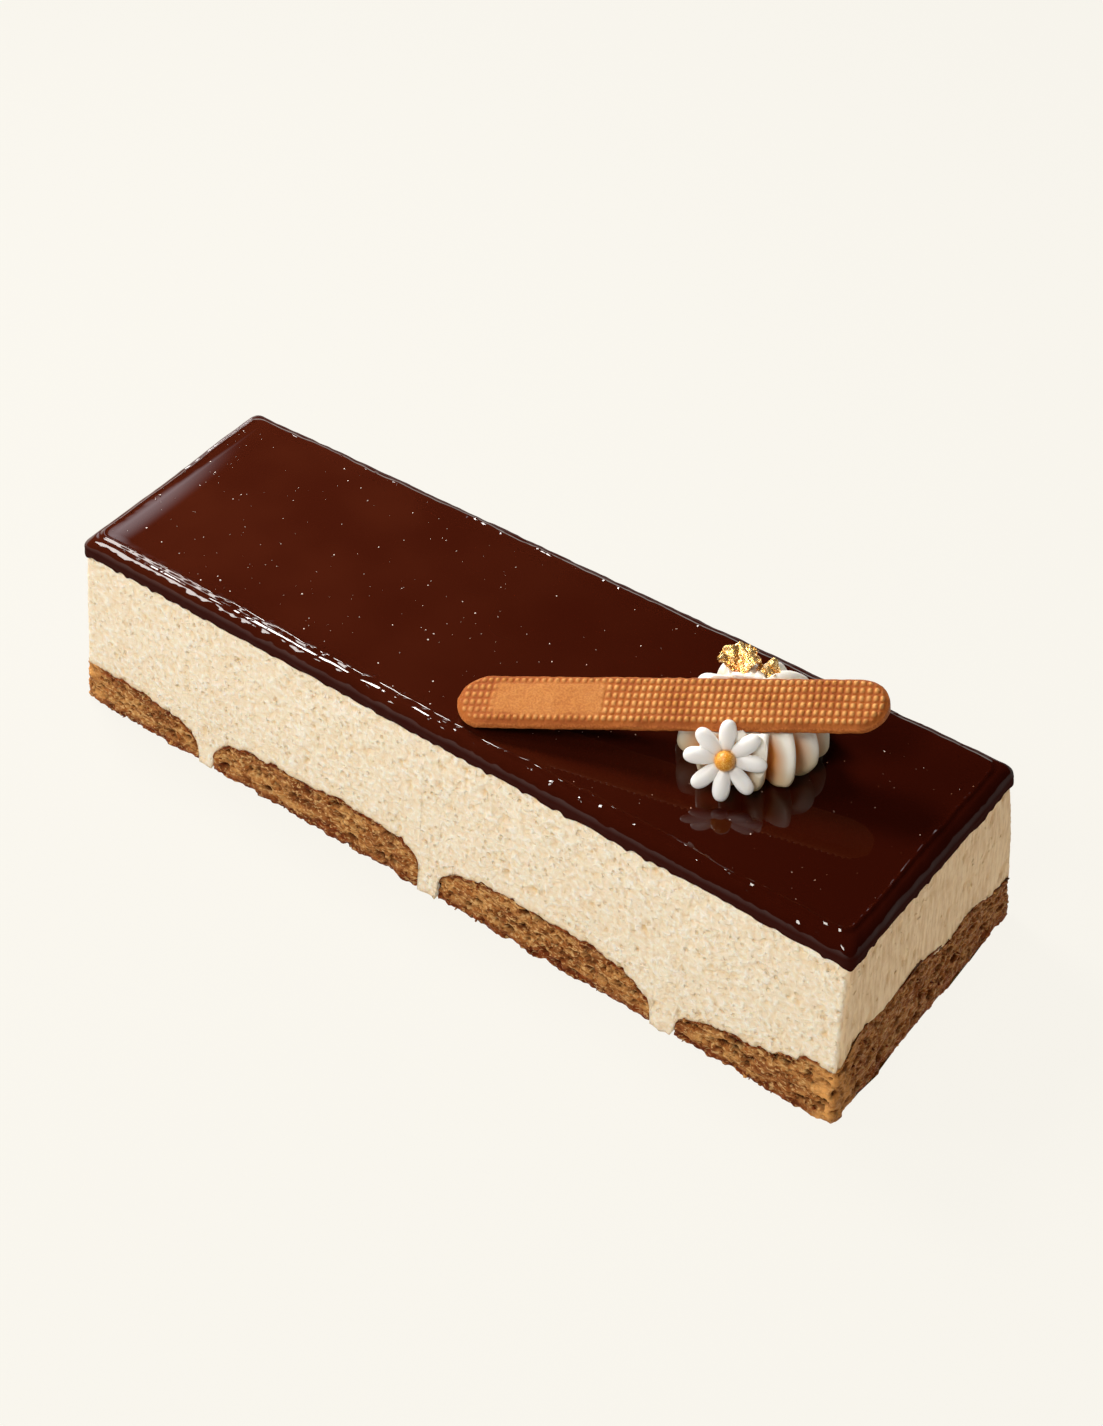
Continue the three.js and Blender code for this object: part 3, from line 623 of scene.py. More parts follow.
# A ladyfinger is a box skin from an uneven foot up to its ragged top. Only its cut sides take the relief of
# the crumb, and their bottom edge is chipped away a little. The front corners of the bar are toasted.
def makeFinger(index, finger, material):
    inside = 0.999  # of the half span, where the arch still stands a little above the base
    middle = (finger["start"] + finger["end"]) / 2
    span = (finger["end"] - middle) * inside
    low = max(middle - span, -bar["baseHalfLength"])
    high = min(middle + span, bar["baseHalfLength"])
    xs = stepsAlong(low, high, sponge["step"])
    pointsAcross = sponge["pointsPerStrip"] * sponge["strips"] + 1
    ys = np.linspace(-bar["baseHalfWidth"], bar["baseHalfWidth"], pointsAcross)
    rows = np.linspace(0, 1, sponge["rows"] + 1)
    lattice, walls, _, faces = boxSkin(xs, ys, rows, sponge["strips"])
    x, y, share = lattice.T
    onWall = np.arange(len(x)) < walls
    top = np.maximum(fingerTop(finger, x, y), 0.12)
    edge = np.stack([x, y, 0 * x], axis=1)
    foot = np.where(onWall, sponge["footGap"] * np.clip(layeredNoise(edge, 1.5, 2, 109) - 0.42, 0, 1), 0)
    foot = np.minimum(foot, 0.5 * top)
    z = foot + share * (top - foot)
    px, py, facing = leanIn(x, y, z)
    places = np.stack([px, py, z], axis=1)
    height, pit, crust = spongeRelief(places, z, top)
    cutSide = finger.get("cutSide", 0)
    onCut = (np.abs(facing[:, 1]) > 0.5) | (cutSide * facing[:, 0] > 0.5)
    chip = sponge["chips"] * ease(z, 0.9, 0.0) * softNoise(places, 1.2, 113)
    places[:, :2] += facing * ((height - chip - 0.05) * onWall * onCut)[:, None]
    corner = ease(np.abs(px), bar["topHalfLength"] - 3.5, bar["baseHalfLength"]) * ease(-py, 14, 19)
    toast = np.clip(corner * (2.2 * softNoise(places, (1.2, 1.2, 0.8), 127) - 0.35), 0, 1)
    # onEnd carries the end face's painted shade
    marks = {"pit": pit, "crust": crust, "toast": toast, "onEnd": ease(facing[:, 0], 0.3, 0.95) * onWall}
    name, node = f"ladyfinger{index + 1}", f"ladyfinger_{index + 1}"
    return makePiece(name, places, faces, material, node, marks)


# Loose crumbs on the cut sponge, mostly along its upper and lower edges.
def makeCrumbs(material):
    draw = np.random.default_rng(21)
    count = sponge["crumbs"]
    x, y = roundTheBar(draw, count, 0.25)
    top = fingersTop(x, y)
    share = 0.5 + 0.5 * np.cos(math.pi * draw.random(count) ** 1.3)
    z = 0.3 + share * (top - 0.4)
    keep = top > 2.5
    x, y, z = x[keep], y[keep], z[keep]
    px, py, facing = leanIn(x, y, z)
    places = np.stack([px, py, z], axis=1)
    places[:, :2] += facing * draw.uniform(-0.15, 0.12, len(x))[:, None]
    sizes = 0.09 + 0.22 * draw.random((len(x), 3)) ** 2
    axes = np.eye(3)[None] * sizes[:, :, None]
    skin, faces = lumps(places, axes, 0.8, 22, bend=0.3)
    points = len(skin) // len(x)
    pale = np.repeat(draw.random(len(x)), points)
    marks = {"pit": 0 * pale, "crust": 1 - pale, "toast": 0.6 * (pale > 0.8), "onEnd": 0 * pale}
    return makePiece("spongeCrumbs", skin, faces, material, None, marks)


# Tan crumb and brown crust in patches, with paler and darker grains that are partly the crumb's own grain
# and partly painted highlight and shade on the noise that the bump raises, holes painted dark as shade and a
# toasted corner. The end face is browner, as painted shade.
def spongePaint():
    paint = Paint("soakedSponge", Roughness=0.5, Specular_IOR_Level=0.03, Subsurface_Weight=0.08,
                  Subsurface_Scale=0.0006, Subsurface_Radius=(1.0, 0.5, 0.25))
    pit, crust, toast, onEnd = [paint.mark(name) for name in ("pit", "crust", "toast", "onEnd")]
    places = paint.mapped((0.6, 0.6, 1.35), paint.warped(1.0, 0.6))
    fine, patch, blotch = [paint.noise(size, 3, places) for size in (0.38, 1.2, 2.6)]
    crumb = paint.mix(patch.eased(0.35, 0.65), tint(166, 100, 48), tint(206, 150, 88))
    rind = paint.mix(patch.eased(0.3, 0.7), tint(92, 34, 12), tint(150, 76, 36))
    share = crust * 1.1 + blotch.eased(0.46, 0.64) * 0.75 + fine - 0.6
    body = paint.mix(share.clamped(), crumb, rind)
    # partly painted highlight: paler grain where the fine noise, and so the bump, is high
    lighter = paint.mix((fine.eased(0.53, 0.64) * (0.9 - crust * 0.4)).clamped(), body, tint(228, 182, 120))
    # partly painted shade: darker grain where the fine noise, and so the bump, is low
    darker = paint.mix((1 - fine.eased(0.32, 0.46)) * 0.75, lighter, tint(82, 36, 14))
    toasted = paint.mix(toast, darker, tint(236, 170, 98))
    # painted shade: dark down in the holes and pores
    deep = paint.mix((pit * 1.3 - 0.15).clamped(), toasted, tint(54, 20, 7))
    # painted shade: the end face is browner
    paint.feed("Base Color", paint.mix(onEnd * 0.45, deep, tint(146, 78, 22)))
    paint.feed("Roughness", 0.62 - fine * 0.45)
    paint.bump(fine * 0.34 + paint.noise(0.12, 2) * 0.08)
    return paint.material


# Chocolate glaze. It lies on the cream from base to top, and insets are measured from the cream's outline.
glaze = {
    "base": 25.0,
    "top": 27.8,
    "overhang": 0.34,
    "lipDrop": 0.75,
    "cornerDrop": 0.45,
    "rows": 52,
    "step": 0.23,
    "strips": 12,
    "rimStretch": 1.7,
    "rimSteps": 12,
    "flatInset": 3.4,
    "underInset": 1.2,
    "wave": 0.02,
    "endFall": 0.45,
    "specks": 330,
    "speckReach": (57.5, 15.6),
}


# Catmull-Rom weights: each row of the result blends four neighbouring knots of a profile.
def profileWeights(knots, rows):
    along = np.linspace(0, knots - 1, rows)
    first = np.minimum(along.astype(int), knots - 2)
    t = along - first
    weights = np.zeros((rows, knots))
    parts = [(-t + 2 * t ** 2 - t ** 3) / 2, (2 - 5 * t ** 2 + 3 * t ** 3) / 2,
             (t + 4 * t ** 2 - 3 * t ** 3) / 2, (t ** 3 - t ** 2) / 2]
    for offset, part in zip((-1, 0, 1, 2), parts):
        np.add.at(weights, (np.arange(rows), np.clip(first + offset, 0, knots - 1)), part)
    return weights


# Steps from -half to half that are finer in the last stretch at each end.
def finerEnds(half, step, stretch, fineCount, multiple):
    inner = half - stretch
    count = int(math.ceil(2 * inner / step))
    count += -(count + 2 * fineCount) % multiple
    end = inner + stretch * np.arange(1, fineCount + 1) / fineCount
    return np.concatenate([-end[::-1], np.linspace(-inner, inner, count + 1), end])


# A value known round the rim, moved out by an outset: the rectangle grows by it, its corners are rounded
# by a radius that is smallest far inside, and it widens as the bar does.
def onRim(rimX, rimY, outset):
    halfLength, halfWidth = bar["topHalfLength"], bar["topHalfWidth"]
    radius = np.interp(outset, (-3.4, -1.6, 0.4), (0.5, 1.5, 1.3))
    x = rimX * (halfLength + outset) / halfLength
    y = rimY * (halfWidth + outset) / halfWidth
    x, y, facing = roundCorners(x, y, halfLength + outset, halfWidth + outset, radius)
    return x, widened(x, y), facing


# Profile of the glaze round its rim, as knots: under the slab, down and round a ragged lip, up the side,
# over the shoulder and across two raised lines to the flat top. Each knot is an outset from the cream's
# top outline and a height, and noise along the rim varies both. Also gives how uneven the rim is.
def glazeProfile(rimX, rimY, rim, facing):
    halfLength, halfWidth = bar["topHalfLength"], bar["topHalfWidth"]
    nearCorner = ease(np.abs(rimX), halfLength - 2.5, halfLength)
    nearCorner = nearCorner * ease(np.abs(rimY), halfWidth - 2.5, halfWidth)
    drip = pitDepth(rim, 2.6, 0.5, (0.2, 0.42), 215)
    ragged = 0.3 * softNoise(rim, 3.1, 211) ** 1.6 + 0.8 * softNoise(rim, 0.9, 213) ** 2 + 0.55 * drip
    drop = glaze["lipDrop"] * ragged + glaze["cornerDrop"] * nearCorner
    bulge = glaze["overhang"] * (0.7 + 0.5 * softNoise(rim, 4, 217) + 0.2 * softNoise(rim, 1.3, 219))
    calm = ease(rimX, -25, -50) * ease(-facing[:, 1] - facing[:, 0], 0.2, 0.8)
    uneven = (1 - 0.8 * calm) * (1 - 0.2 * ease(rimX, 0, 40))
    nearSide = (1 - 0.8 * ease(facing[:, 1], 0, 0.5)) * uneven
    ridge = 0.03 + 0.1 * calm + 0.26 * nearSide * softNoise(rim, 3.4, 227) * softNoise(rim, 1.1, 229)
    second = 0.06 * calm + 0.2 * nearSide * softNoise(rim, 4.1, 233) * softNoise(rim, 1.4, 239)
    sway = 0.5 * uneven * (softNoise(rim, 4.7, 241) - 0.5) + 0.1 * (softNoise(rim, 1.9, 243) - 0.5)
    base, top, still = glaze["base"], glaze["top"], np.zeros(len(rim))
    knots = [
        (-glaze["underInset"], base + 0.05),
        (0.05, base + 0.02),
        (0.12 + 0.1 * drop, base - 0.7 * drop),
        (0.22 + 0.14 * drop, base - drop - 0.03),
        (0.34 + 0.1 * drop, base - 0.7 * drop),
        (bulge + 0.03, base + 0.3),
        (bulge + 0.03, base + 0.75),
        (bulge - 0.05, base + 1.2),
        (bulge - 0.25, base + 1.65),
        (bulge - 0.6 + 0.2 * sway, base + 2.07 + 0.3 * second),
        (bulge - 1.1 + 0.5 * sway, base + 2.42 + second),
        (bulge - 1.55 + sway, base + 2.6 + 0.2 * second),
        (bulge - 1.95 + sway, top + ridge),
        (bulge - 2.3 + sway, top + 0.35 * ridge),
        (-2.75 + 0.5 * sway, top),
        (-glaze["flatInset"], top),
    ]
    weights = profileWeights(len(knots), glaze["rows"] + 1)
    outset = weights @ np.array([knot[0] + still for knot in knots])
    height = weights @ np.array([knot[1] + still for knot in knots])
    return outset, height, uneven


# Small lumps, dimples and bubbles of set glaze: noise and pits that move the rim's profile up and out.
def roughenRim(outset, height, uneven, flatX, flatY, facing):
    base, top, shape = glaze["base"], glaze["top"], height.shape
    spot = np.stack([flatX + outset * facing[:, 0], flatY + outset * facing[:, 1], height], axis=-1)
    spot = spot.reshape(-1, 3)
    upper = ease(height, base + 0.6, top - 0.5) * ease(outset, -2.9, -1.6)
    beads = layeredNoise(spot, (1.3, 1.3, 0.9), 2, 251).reshape(shape) - 0.5
    bubbles = pitDepth(spot, (1.5, 1.5, 1.5), 0.34, (0.12, 0.26), 253).reshape(shape)
    height = height + (0.13 * beads + 0.14 * np.sqrt(bubbles)) * upper * uneven
    lumpy = layeredNoise(spot, (1.6, 1.6, 1.0), 2, 257).reshape(shape) - 0.5
    side = ease(height, base + 0.1, base + 0.6) * ease(outset, -1.0, -0.3)
    return outset + 0.2 * lumpy * (0.3 + 0.7 * uneven) * side, height


# How glossy the rim is: duller low down on the side, and duller still where it faces away.
def rimGloss(outset, height, facing):
    away = np.maximum(ease(facing[:, 1], 0.3, 0.8), 0.8 * ease(facing[:, 0], 0.3, 0.8))
    away = away * ease(outset, -1.6, -0.7)
    return (0.08 + 0.92 * ease(height, glaze["base"] + 0.9, glaze["base"] + 1.8)) * (1 - 0.85 * away)


# The glaze is a box skin whose wall rows follow the profile round the rim. Its flat top waves by soft
# noise, and its left end falls a little towards the front, so that it catches a sheen.
def makeGlaze(material):
    halfLength, halfWidth = bar["topHalfLength"], bar["topHalfWidth"]
    base, top = glaze["base"], glaze["top"]
    xs = finerEnds(halfLength, glaze["step"], glaze["rimStretch"], glaze["rimSteps"], 1)
    ys = finerEnds(halfWidth, glaze["step"], glaze["rimStretch"], glaze["rimSteps"], glaze["strips"])
    lattice, walls, ring, faces = boxSkin(xs, ys, np.linspace(0, 1, glaze["rows"] + 1), glaze["strips"])
    rimX, rimY = lattice[:ring, 0], lattice[:ring, 1]
    flatX, flatY, facing = onRim(rimX, rimY, np.zeros(ring))
    rim = np.stack([flatX, flatY, np.zeros(ring)], axis=1)
    outset, height, uneven = glazeProfile(rimX, rimY, rim, facing)
    outset, height = roughenRim(outset, height, uneven, flatX, flatY, facing)
    wallX, wallY, _ = onRim(np.tile(rimX, len(outset)), np.tile(rimY, len(outset)), outset.ravel())
    places = np.zeros((len(lattice), 3))
    places[:walls] = np.stack([wallX, wallY, height.ravel()], axis=1)
    inner = lattice[walls:]
    onTop = inner[:, 2] > 0.5
    inset = np.where(onTop, glaze["flatInset"], glaze["underInset"])
    innerX = inner[:, 0] * (halfLength - inset) / halfLength
    innerY = inner[:, 1] * (halfWidth - inset) / halfWidth
    places[walls:] = np.stack([innerX, widened(innerX, innerY), np.where(onTop, top, base + 0.05)], axis=1)
    settle = ease(np.abs(places[:, 0]), halfLength - 1, halfLength - 6)
    settle = settle * ease(np.abs(places[:, 1]), halfWidth - 1, halfWidth - 5)
    wave = glaze["wave"] * (softNoise(places, 13, 261) - 0.5) * (places[:, 2] > top - 0.3)
    places[:, 2] += wave * settle
    fallen = np.clip((-places[:, 0] - 53) / 6.5, 0, 1.1) ** 2 * ease(places[:, 1], 17, -8)
    places[:, 2] -= glaze["endFall"] * fallen * ease(places[:, 2], base + 0.4, top - 0.5)
    gloss = np.ones(len(places))
    gloss[:walls] = rimGloss(outset, height, facing).ravel()
    # deep rises from the left end to the right; the paint darkens the glaze by it as painted shade
    marks = {"gloss": gloss, "deep": ease(places[:, 0], -60, 62)}
    return makePiece("chocolateGlaze", places, faces, material, "chocolate_glaze", marks)


# A dark brown body, painted darker towards the right as shade, under a mirror coat that is thin low
# down on the side.
def glazePaint():
    paint = Paint("darkGlaze", Roughness=0.6, Specular_IOR_Level=0.0, Coat_Roughness=0.04, Coat_IOR=1.43)
    patch = paint.noise(14, 2)
    gloss = paint.mark("gloss")
    left = paint.mix(patch.eased(0.3, 0.7), tint(58, 18, 7), tint(65, 23, 10))
    # painted shade: the body darkens from the left end to the right
    body = paint.mix(paint.mark("deep"), left, tint(47, 10, 3))
    paint.feed("Base Color", paint.mix(gloss, tint(50, 13, 6), body))
    paint.feed("Coat Weight", gloss)
    return paint.material


# Pinhead bubbles and dust on the glaze, most of them in its left half.
def makeSpecks(material):
    draw = np.random.default_rng(5)
    count = glaze["specks"]
    reachX, reachY = glaze["speckReach"]
    x = blend(-reachX, reachX, draw.random(count) ** 1.25)
    y = draw.uniform(-reachY, reachY, count)
    centres = np.stack([x, widened(x, y), np.full(count, glaze["top"])], axis=1)
    sizes = 0.03 + 0.085 * draw.random(count) ** 4
    axes = np.eye(3)[None] * sizes[:, None, None] * np.array([1, 1, 0.7])
    places, faces = lumps(centres, axes, 0.4, 6)
    # pale marks specks painted near white as glints, more of them towards the left
    pale = np.repeat(np.clip(draw.random(count) + 0.35 - x / 110, 0, 1), len(places) // count)
    return makePiece("glazeBubbles", places, faces, material, None, {"pale": pale})


# Bubbles are painted nearly white as glints where they are marked pale, and brown elsewhere.
def speckPaint():
    paint = Paint("bubbleSkin", Roughness=0.25)
    worn = paint.mix(paint.noise(4, 1).eased(0.3, 0.7), tint(150, 92, 62), tint(190, 140, 108))
    paint.feed("Base Color", paint.mix(paint.mark("pale"), worn, tint(252, 240, 232)))
    return paint.material


# A turn as a 3 by 3 matrix, from steps of an axis and an angle each.
def turned(*steps):
    made = Matrix.Identity(3)
    for axis, angle in steps:
        made = made @ Matrix.Rotation(angle, 3, axis)
    return np.array(made)


# From a piece's own frame to the bar's: turned, then moved to the origin of that frame.
def placed(local, turn, origin):
    return local @ turn.T + np.array(origin)


# From the bar's frame back to the piece's own.
def localOf(places, turn, origin):
    return (places - np.array(origin)) @ turn


# The biscuit stick lies in a frame of its own: x from its left end along it, y across and z up from its
# foot. The patch is a bare stretch of its top: where it starts and ends along it, and its half width.
stick = {
    "leftEnd": (0.88, -13.77, glaze["top"] + 0.67),
    "length": 52.4,
    "width": 7.2,
    "thickness": 1.5,
    "turn": math.radians(23.45),
    "rise": math.radians(11.2),
    "roll": math.radians(12),
    "beadPitch": 0.84,
    "beadRowPitch": 1.1,
    "beadHeight": 0.37,
    "edgeRound": 0.45,
    "edgeReach": 0.95,
    "sideBulge": 0.14,
    "plainBorder": 0.25,
    "foot": 0.35,
    "patch": (4.6, 18.4, 2.3),
    "columns": 560,
    "endColumns": 44,
    "topPoints": 84,
    "sidePoints": 12,
    "bottomPoints": 20,
}

stickTurn = turned(("Z", stick["turn"]), ("Y", -stick["rise"]), ("X", stick["roll"]))


# Places along the stick, closer together round its ends, and for each the nearest one on the line between
# the middles of its round ends and its half width, a circle's there.
def stickOutline():
    half, length, count = stick["width"] / 2, stick["length"], stick["endColumns"]
    endSteps = half * (1 - np.cos(np.linspace(0, math.pi / 2, count)))
    middleSteps = np.linspace(half, length - half, stick["columns"] - 2 * count)[1:-1]
    x = np.concatenate([endSteps, middleSteps, (length - endSteps)[::-1]])[:, None]
    spine = np.clip(x, half, length - half)
    return x, spine, np.sqrt(np.clip(half ** 2 - (x - spine) ** 2, 0, None))


# The top of the stick: flat, with an edge that falls by a square, and a pressed grid of round beads. A bead
# is the product of two raised cosines, plumped by a power below one. The beads fade out on the bare patch
# and near the edge. Gives the places as three arrays, and how much bead, side and patch each one has.
def stickTop(x, spine, halfWidth):
    topY = halfWidth * np.linspace(1, -1, stick["topPoints"])[None, :]
    topX = x + 0 * topY
    depth = stick["width"] / 2 - np.hypot(topX - spine, topY)
    fall = np.clip(1 - depth / stick["edgeReach"], 0, 1)
    flat = np.stack([topX, topY, 0 * topX], axis=-1).reshape(-1, 3)

    def soft(size, seed):
        return softNoise(flat, size, seed).reshape(topX.shape) - 0.5

    def layered(size, seed):
        return layeredNoise(flat, size, 2, seed).reshape(topX.shape) - 0.5

    cosX = 0.5 - 0.5 * np.cos(2 * math.pi * (topX + 0.12 * soft(3.1, 401)) / stick["beadPitch"])
    cosY = 0.5 - 0.5 * np.cos(2 * math.pi * (topY + 0.14 * soft(4.4, 403)) / stick["beadRowPitch"])
    start, end, patchHalf = stick["patch"]
    ragged = 0.9 * layered(1.7, 405)
    onPatch = ease(topX + ragged, start - 0.6, start + 0.9) * ease(topX + ragged, end + 0.6, end - 0.9)
    onPatch = onPatch * ease(np.abs(topY) + 0.5 * ragged, patchHalf + 0.5, patchHalf - 0.5)
    inside = ease(depth, stick["plainBorder"], stick["plainBorder"] + 0.5)
    worn = 0.72 + 0.28 * ease(topX, 12, 25) + 0.3 * soft(1.9, 407)
    beads = (cosX * cosY) ** 0.55 * inside * worn
    beads = blend(beads, 0.45 + 0.3 * layered(1.0, 409), 0.9 * onPatch)
    topZ = stick["thickness"] - stick["edgeRound"] * fall ** 2 + stick["beadHeight"] * beads
    topZ = topZ + 0.05 * layered(0.32, 411) + 0.1 * soft(5, 413) + 0.2 * soft(0.8, 415) * ease(fall, 0.2, 1)
    return (topX, topY, topZ), {"bead": beads, "side": ease(depth, 0.3, 0.0), "plain": onPatch}


# Sections across the stick at places along it, each a closed ring over the top, down the near side, which
# bulges by a sine, back under and up the far side. The sides are roughened by noise.
def makeStick(material):
    foot = stick["foot"]
    x, spine, halfWidth = stickOutline()
    (topX, topY, topZ), topMarks = stickTop(x, spine, halfWidth)
    down = np.linspace(0, 1, stick["sidePoints"] + 2)[1:-1][None, :]
    bulge = stick["sideBulge"] * np.sin(math.pi * down) * (halfWidth > 0.2)
    nearZ = topZ[:, -1:] + (foot - topZ[:, -1:]) * down
    farZ = topZ[:, :1] + (foot - topZ[:, :1]) * down[:, ::-1]
    backUp = np.linspace(-1, 1, stick["bottomPoints"])[None, :]
    top = np.stack([topX, topY, topZ], axis=-1)
    nearSide = np.stack([x + 0 * down, -(halfWidth + bulge), nearZ], axis=-1)
    underY = np.clip(halfWidth - foot, 0, None) * backUp
    bottom = np.stack([x + 0 * underY, underY, 0 * underY], axis=-1)
    farSide = np.stack([x + 0 * down, halfWidth + bulge, farZ], axis=-1)
    rings = np.concatenate([top, nearSide, bottom, farSide], axis=1)
    rows, columns = rings.shape[:2]
    places = rings.reshape(-1, 3)
    isTop = np.tile(np.arange(columns) < stick["topPoints"], rows)
    rough = 0.2 * (layeredNoise(places, (0.9, 0.9, 0.5), 3, 421) - 0.5) * ~isTop
    places[:, 1] += np.sign(places[:, 1]) * rough * (np.abs(places[:, 1]) > 0.3)
    skin, faces = ringSkin(places.reshape(rows, columns, 3))
    marks = {}
    for mark, elsewhere in (("bead", 0), ("side", 1), ("plain", 0)):
        values = np.full((rows, columns), float(elsewhere))
        values[:, :stick["topPoints"]] = topMarks[mark]
        marks[mark] = np.append(values, [elsewhere, elsewhere])
    skin = placed(skin, stickTurn, stick["leftEnd"])
    return makePiece("biscuitStick", skin, faces, material, "biscuit_stick", marks)


# Brown grooves, pale crowns, a plain tone on the bare patch and a browner one on the sides.
def stickPaint():
    paint = Paint("goldenBiscuit", Roughness=0.65, Specular_IOR_Level=0.25, Subsurface_Weight=0.05,
                  Subsurface_Scale=0.0008, Subsurface_Radius=(1.0, 0.5, 0.2))
    bead, side, plain = paint.mark("bead"), paint.mark("side"), paint.mark("plain")
    fine, patch = paint.noise(0.25, 3), paint.noise(4, 3)
    groove = paint.mix(patch.eased(0.3, 0.7), tint(148, 72, 18), tint(164, 88, 26))
    crown = paint.mix(patch.eased(0.3, 0.7), tint(208, 144, 72), tint(228, 172, 104))
    body = paint.mix((bead * 1.35 + fine * 0.5 - 0.5).clamped(), groove, crown)
    smooth = paint.mix(fine.eased(0.35, 0.65), tint(162, 94, 31), tint(186, 118, 48))
    body = paint.mix(plain * 0.7, body, smooth)
    baked = paint.mix(fine.eased(0.4, 0.6), tint(158, 82, 30), tint(188, 112, 50))
    paint.feed("Base Color", paint.mix(side * 0.7, body, baked))
    paint.bump(fine * 0.10 + paint.noise(0.1, 2) * 0.05)
    return paint.material


# The daisy has a frame of its own too: z comes out of its middle, and its petals lie round the origin.
daisy = {
    "centre": (34.05, -6.05, glaze["top"] + 4.8),
    "facing": math.radians(28),
    "lookUp": math.radians(30),
    "petals": 8,
    "reach": 4.95,
    "cup": math.radians(7),
    "petalLength": 4.1,
    "petalWidth": 2.05,
    "petalThickness": 1.15,
    "tipWidening": 0.14,
    "firstPetal": -0.04,
    "hubRadius": 2.45,
    "hubThickness": 0.6,
    "hubBack": 0.3,
    "ballRadius": 1.22,
    "ballLift": 0.7,
}

daisyTurn = turned(("Z", daisy["facing"]), ("X", math.pi / 2 - daisy["lookUp"]))


# One petal: rings along its length, an ellipse across each. Half width and half thickness follow a
# superellipse along the length, wider towards the tip, and the petal is tipped up at its outer end.
def petalRings(index, rows=40, columns=36):
    along = -np.cos(np.linspace(0.03, math.pi - 0.03, rows))[:, None]
    outline = (1 - np.abs(along) ** 2.25) ** (1 / 2.25)
    around = np.linspace(0, 2 * math.pi, columns, endpoint=False)[None, :]
    own = (index * 0.618) % 1
    width = daisy["petalWidth"] / 2 * outline * (1 + daisy["tipWidening"] * along) * (1 + 0.06 * (own - 0.5))
    thick = daisy["petalThickness"] / 2 * outline * (1 + 0.15 * along)
    x = daisy["petalLength"] / 2 * along + 0 * around
    y = width * np.cos(around) + 0.07 * math.sin(7 * own + 1) * (1 - along ** 2)
    z = thick * np.sin(around)
    local = np.stack([x + daisy["reach"] - daisy["petalLength"] / 2, y, z], axis=-1)
    spin = 2 * math.pi * index / daisy["petals"] + daisy["firstPetal"] + 0.03 * math.sin(9 * own)
    turn = turned(("Z", spin), ("Y", -daisy["cup"] * (0.8 + 0.4 * own)), ("X", 0.16 * math.sin(5 * own)))
    return local @ turn.T


# The petals in front of a flat round hub, as one piece. The hub and the innermost petals are marked warm.
def makePetals(material):
    shells = [petalRings(index) for index in range(daisy["petals"])]
    hub = ballRings(18, 40) * [daisy["hubRadius"], daisy["hubRadius"], daisy["hubThickness"] / 2]
    shells.append(hub - [0, 0, daisy["hubBack"]])
    skins, faces, offset = [], [], 0
    for shell in shells:
        skin, groups = ringSkin(shell)
        skins.append(skin)
        faces += [group + offset for group in groups]
        offset += len(skin)
    places = np.concatenate(skins)
    warm = 0.8 * ease(np.hypot(places[:, 0], places[:, 1]), 1.5, 1.1)
    warm[-len(skins[-1]):] = 1
    places[:, 2] += 0.03 * (softNoise(places, 0.9, 501) - 0.5)
    places = placed(places, daisyTurn, daisy["centre"])
    return makePiece("daisyPetals", places, faces, material, "daisy_petals", {"warm": warm})


# A ball with a fine grain, a little in front of the petals.
def makeBall(material):
    ball = ballRings(60, 110)
    grain = layeredNoise(ball.reshape(-1, 3), 0.14, 2, 503).reshape(ball.shape[:2]) - 0.5
    ball = ball * (daisy["ballRadius"] * (1 + 0.02 * grain))[..., None]
    ball[..., 2] += daisy["ballLift"]
    skin, faces = ringSkin(ball)
    skin = placed(skin, daisyTurn, daisy["centre"])
    return makePiece("daisyBall", skin, faces, material, "daisy_centre")


# White sugar, yellowed where it is marked warm.
def petalPaint():
    paint = Paint("sugarPetal", Roughness=0.36, Subsurface_Weight=0.35, Subsurface_Scale=0.001,
                  Subsurface_Radius=(1.0, 0.85, 0.7))
    body = paint.mix(paint.noise(1.2, 2), tint(250, 248, 244), tint(254, 252, 249))
    paint.feed("Base Color", paint.mix(paint.mark("warm"), body, tint(252, 196, 86)))
    paint.bump(paint.noise(0.3, 2) * 0.012)
    return paint.material


# Orange sugar with a pearly fleck.
def ballPaint():
    paint = Paint("sugarBall", Roughness=0.34, Subsurface_Weight=0.2, Subsurface_Scale=0.0006,
                  Subsurface_Radius=(1.0, 0.6, 0.2))
    speck = paint.noise(0.1, 2).eased(0.5, 0.64)
    paint.feed("Base Color", paint.mix(speck, tint(222, 141, 28), tint(252, 206, 104)))
    paint.bump(paint.noise(0.12, 2) * 0.03)
    return paint.material


# Crumpled pieces of gold leaf, each with the middle of its underside and how strongly it is folded.
leaves = [
    {"name": "goldLeafLarge", "node": "gold_leaf_large", "centre": (28.35, 5.4, glaze["top"] + 9.0),
     "width": 5.2, "depth": 4.6, "turn": 0.62, "folds": 1.15, "seed": 3},
    {"name": "goldLeafSmall", "node": "gold_leaf_small", "centre": (31.75, 6.1, glaze["top"] + 9.0),
     "width": 2.6, "depth": 2.6, "turn": -0.35, "folds": 0.75, "seed": 8},
]


# Height of a crumpled leaf over its middle: a sharp zigzag fold, a weaker one across it and noise.
def leafHeight(leaf, x, y):
    def zigzag(value, period):
        return np.abs((value / period) % 2 - 1) - 0.5

    main = zigzag(0.9 * x + 0.5 * y + leaf["seed"], leaf["width"] / 2.6)
    cross = zigzag(y - 0.35 * x + 0.7 * leaf["seed"], leaf["depth"] / 2.2)
    flat = np.stack([x, y, 0 * x], axis=1)
    return leaf["folds"] * (0.95 * main + 0.6 * cross + 0.9 * (softNoise(flat, 0.9, leaf["seed"]) - 0.5))


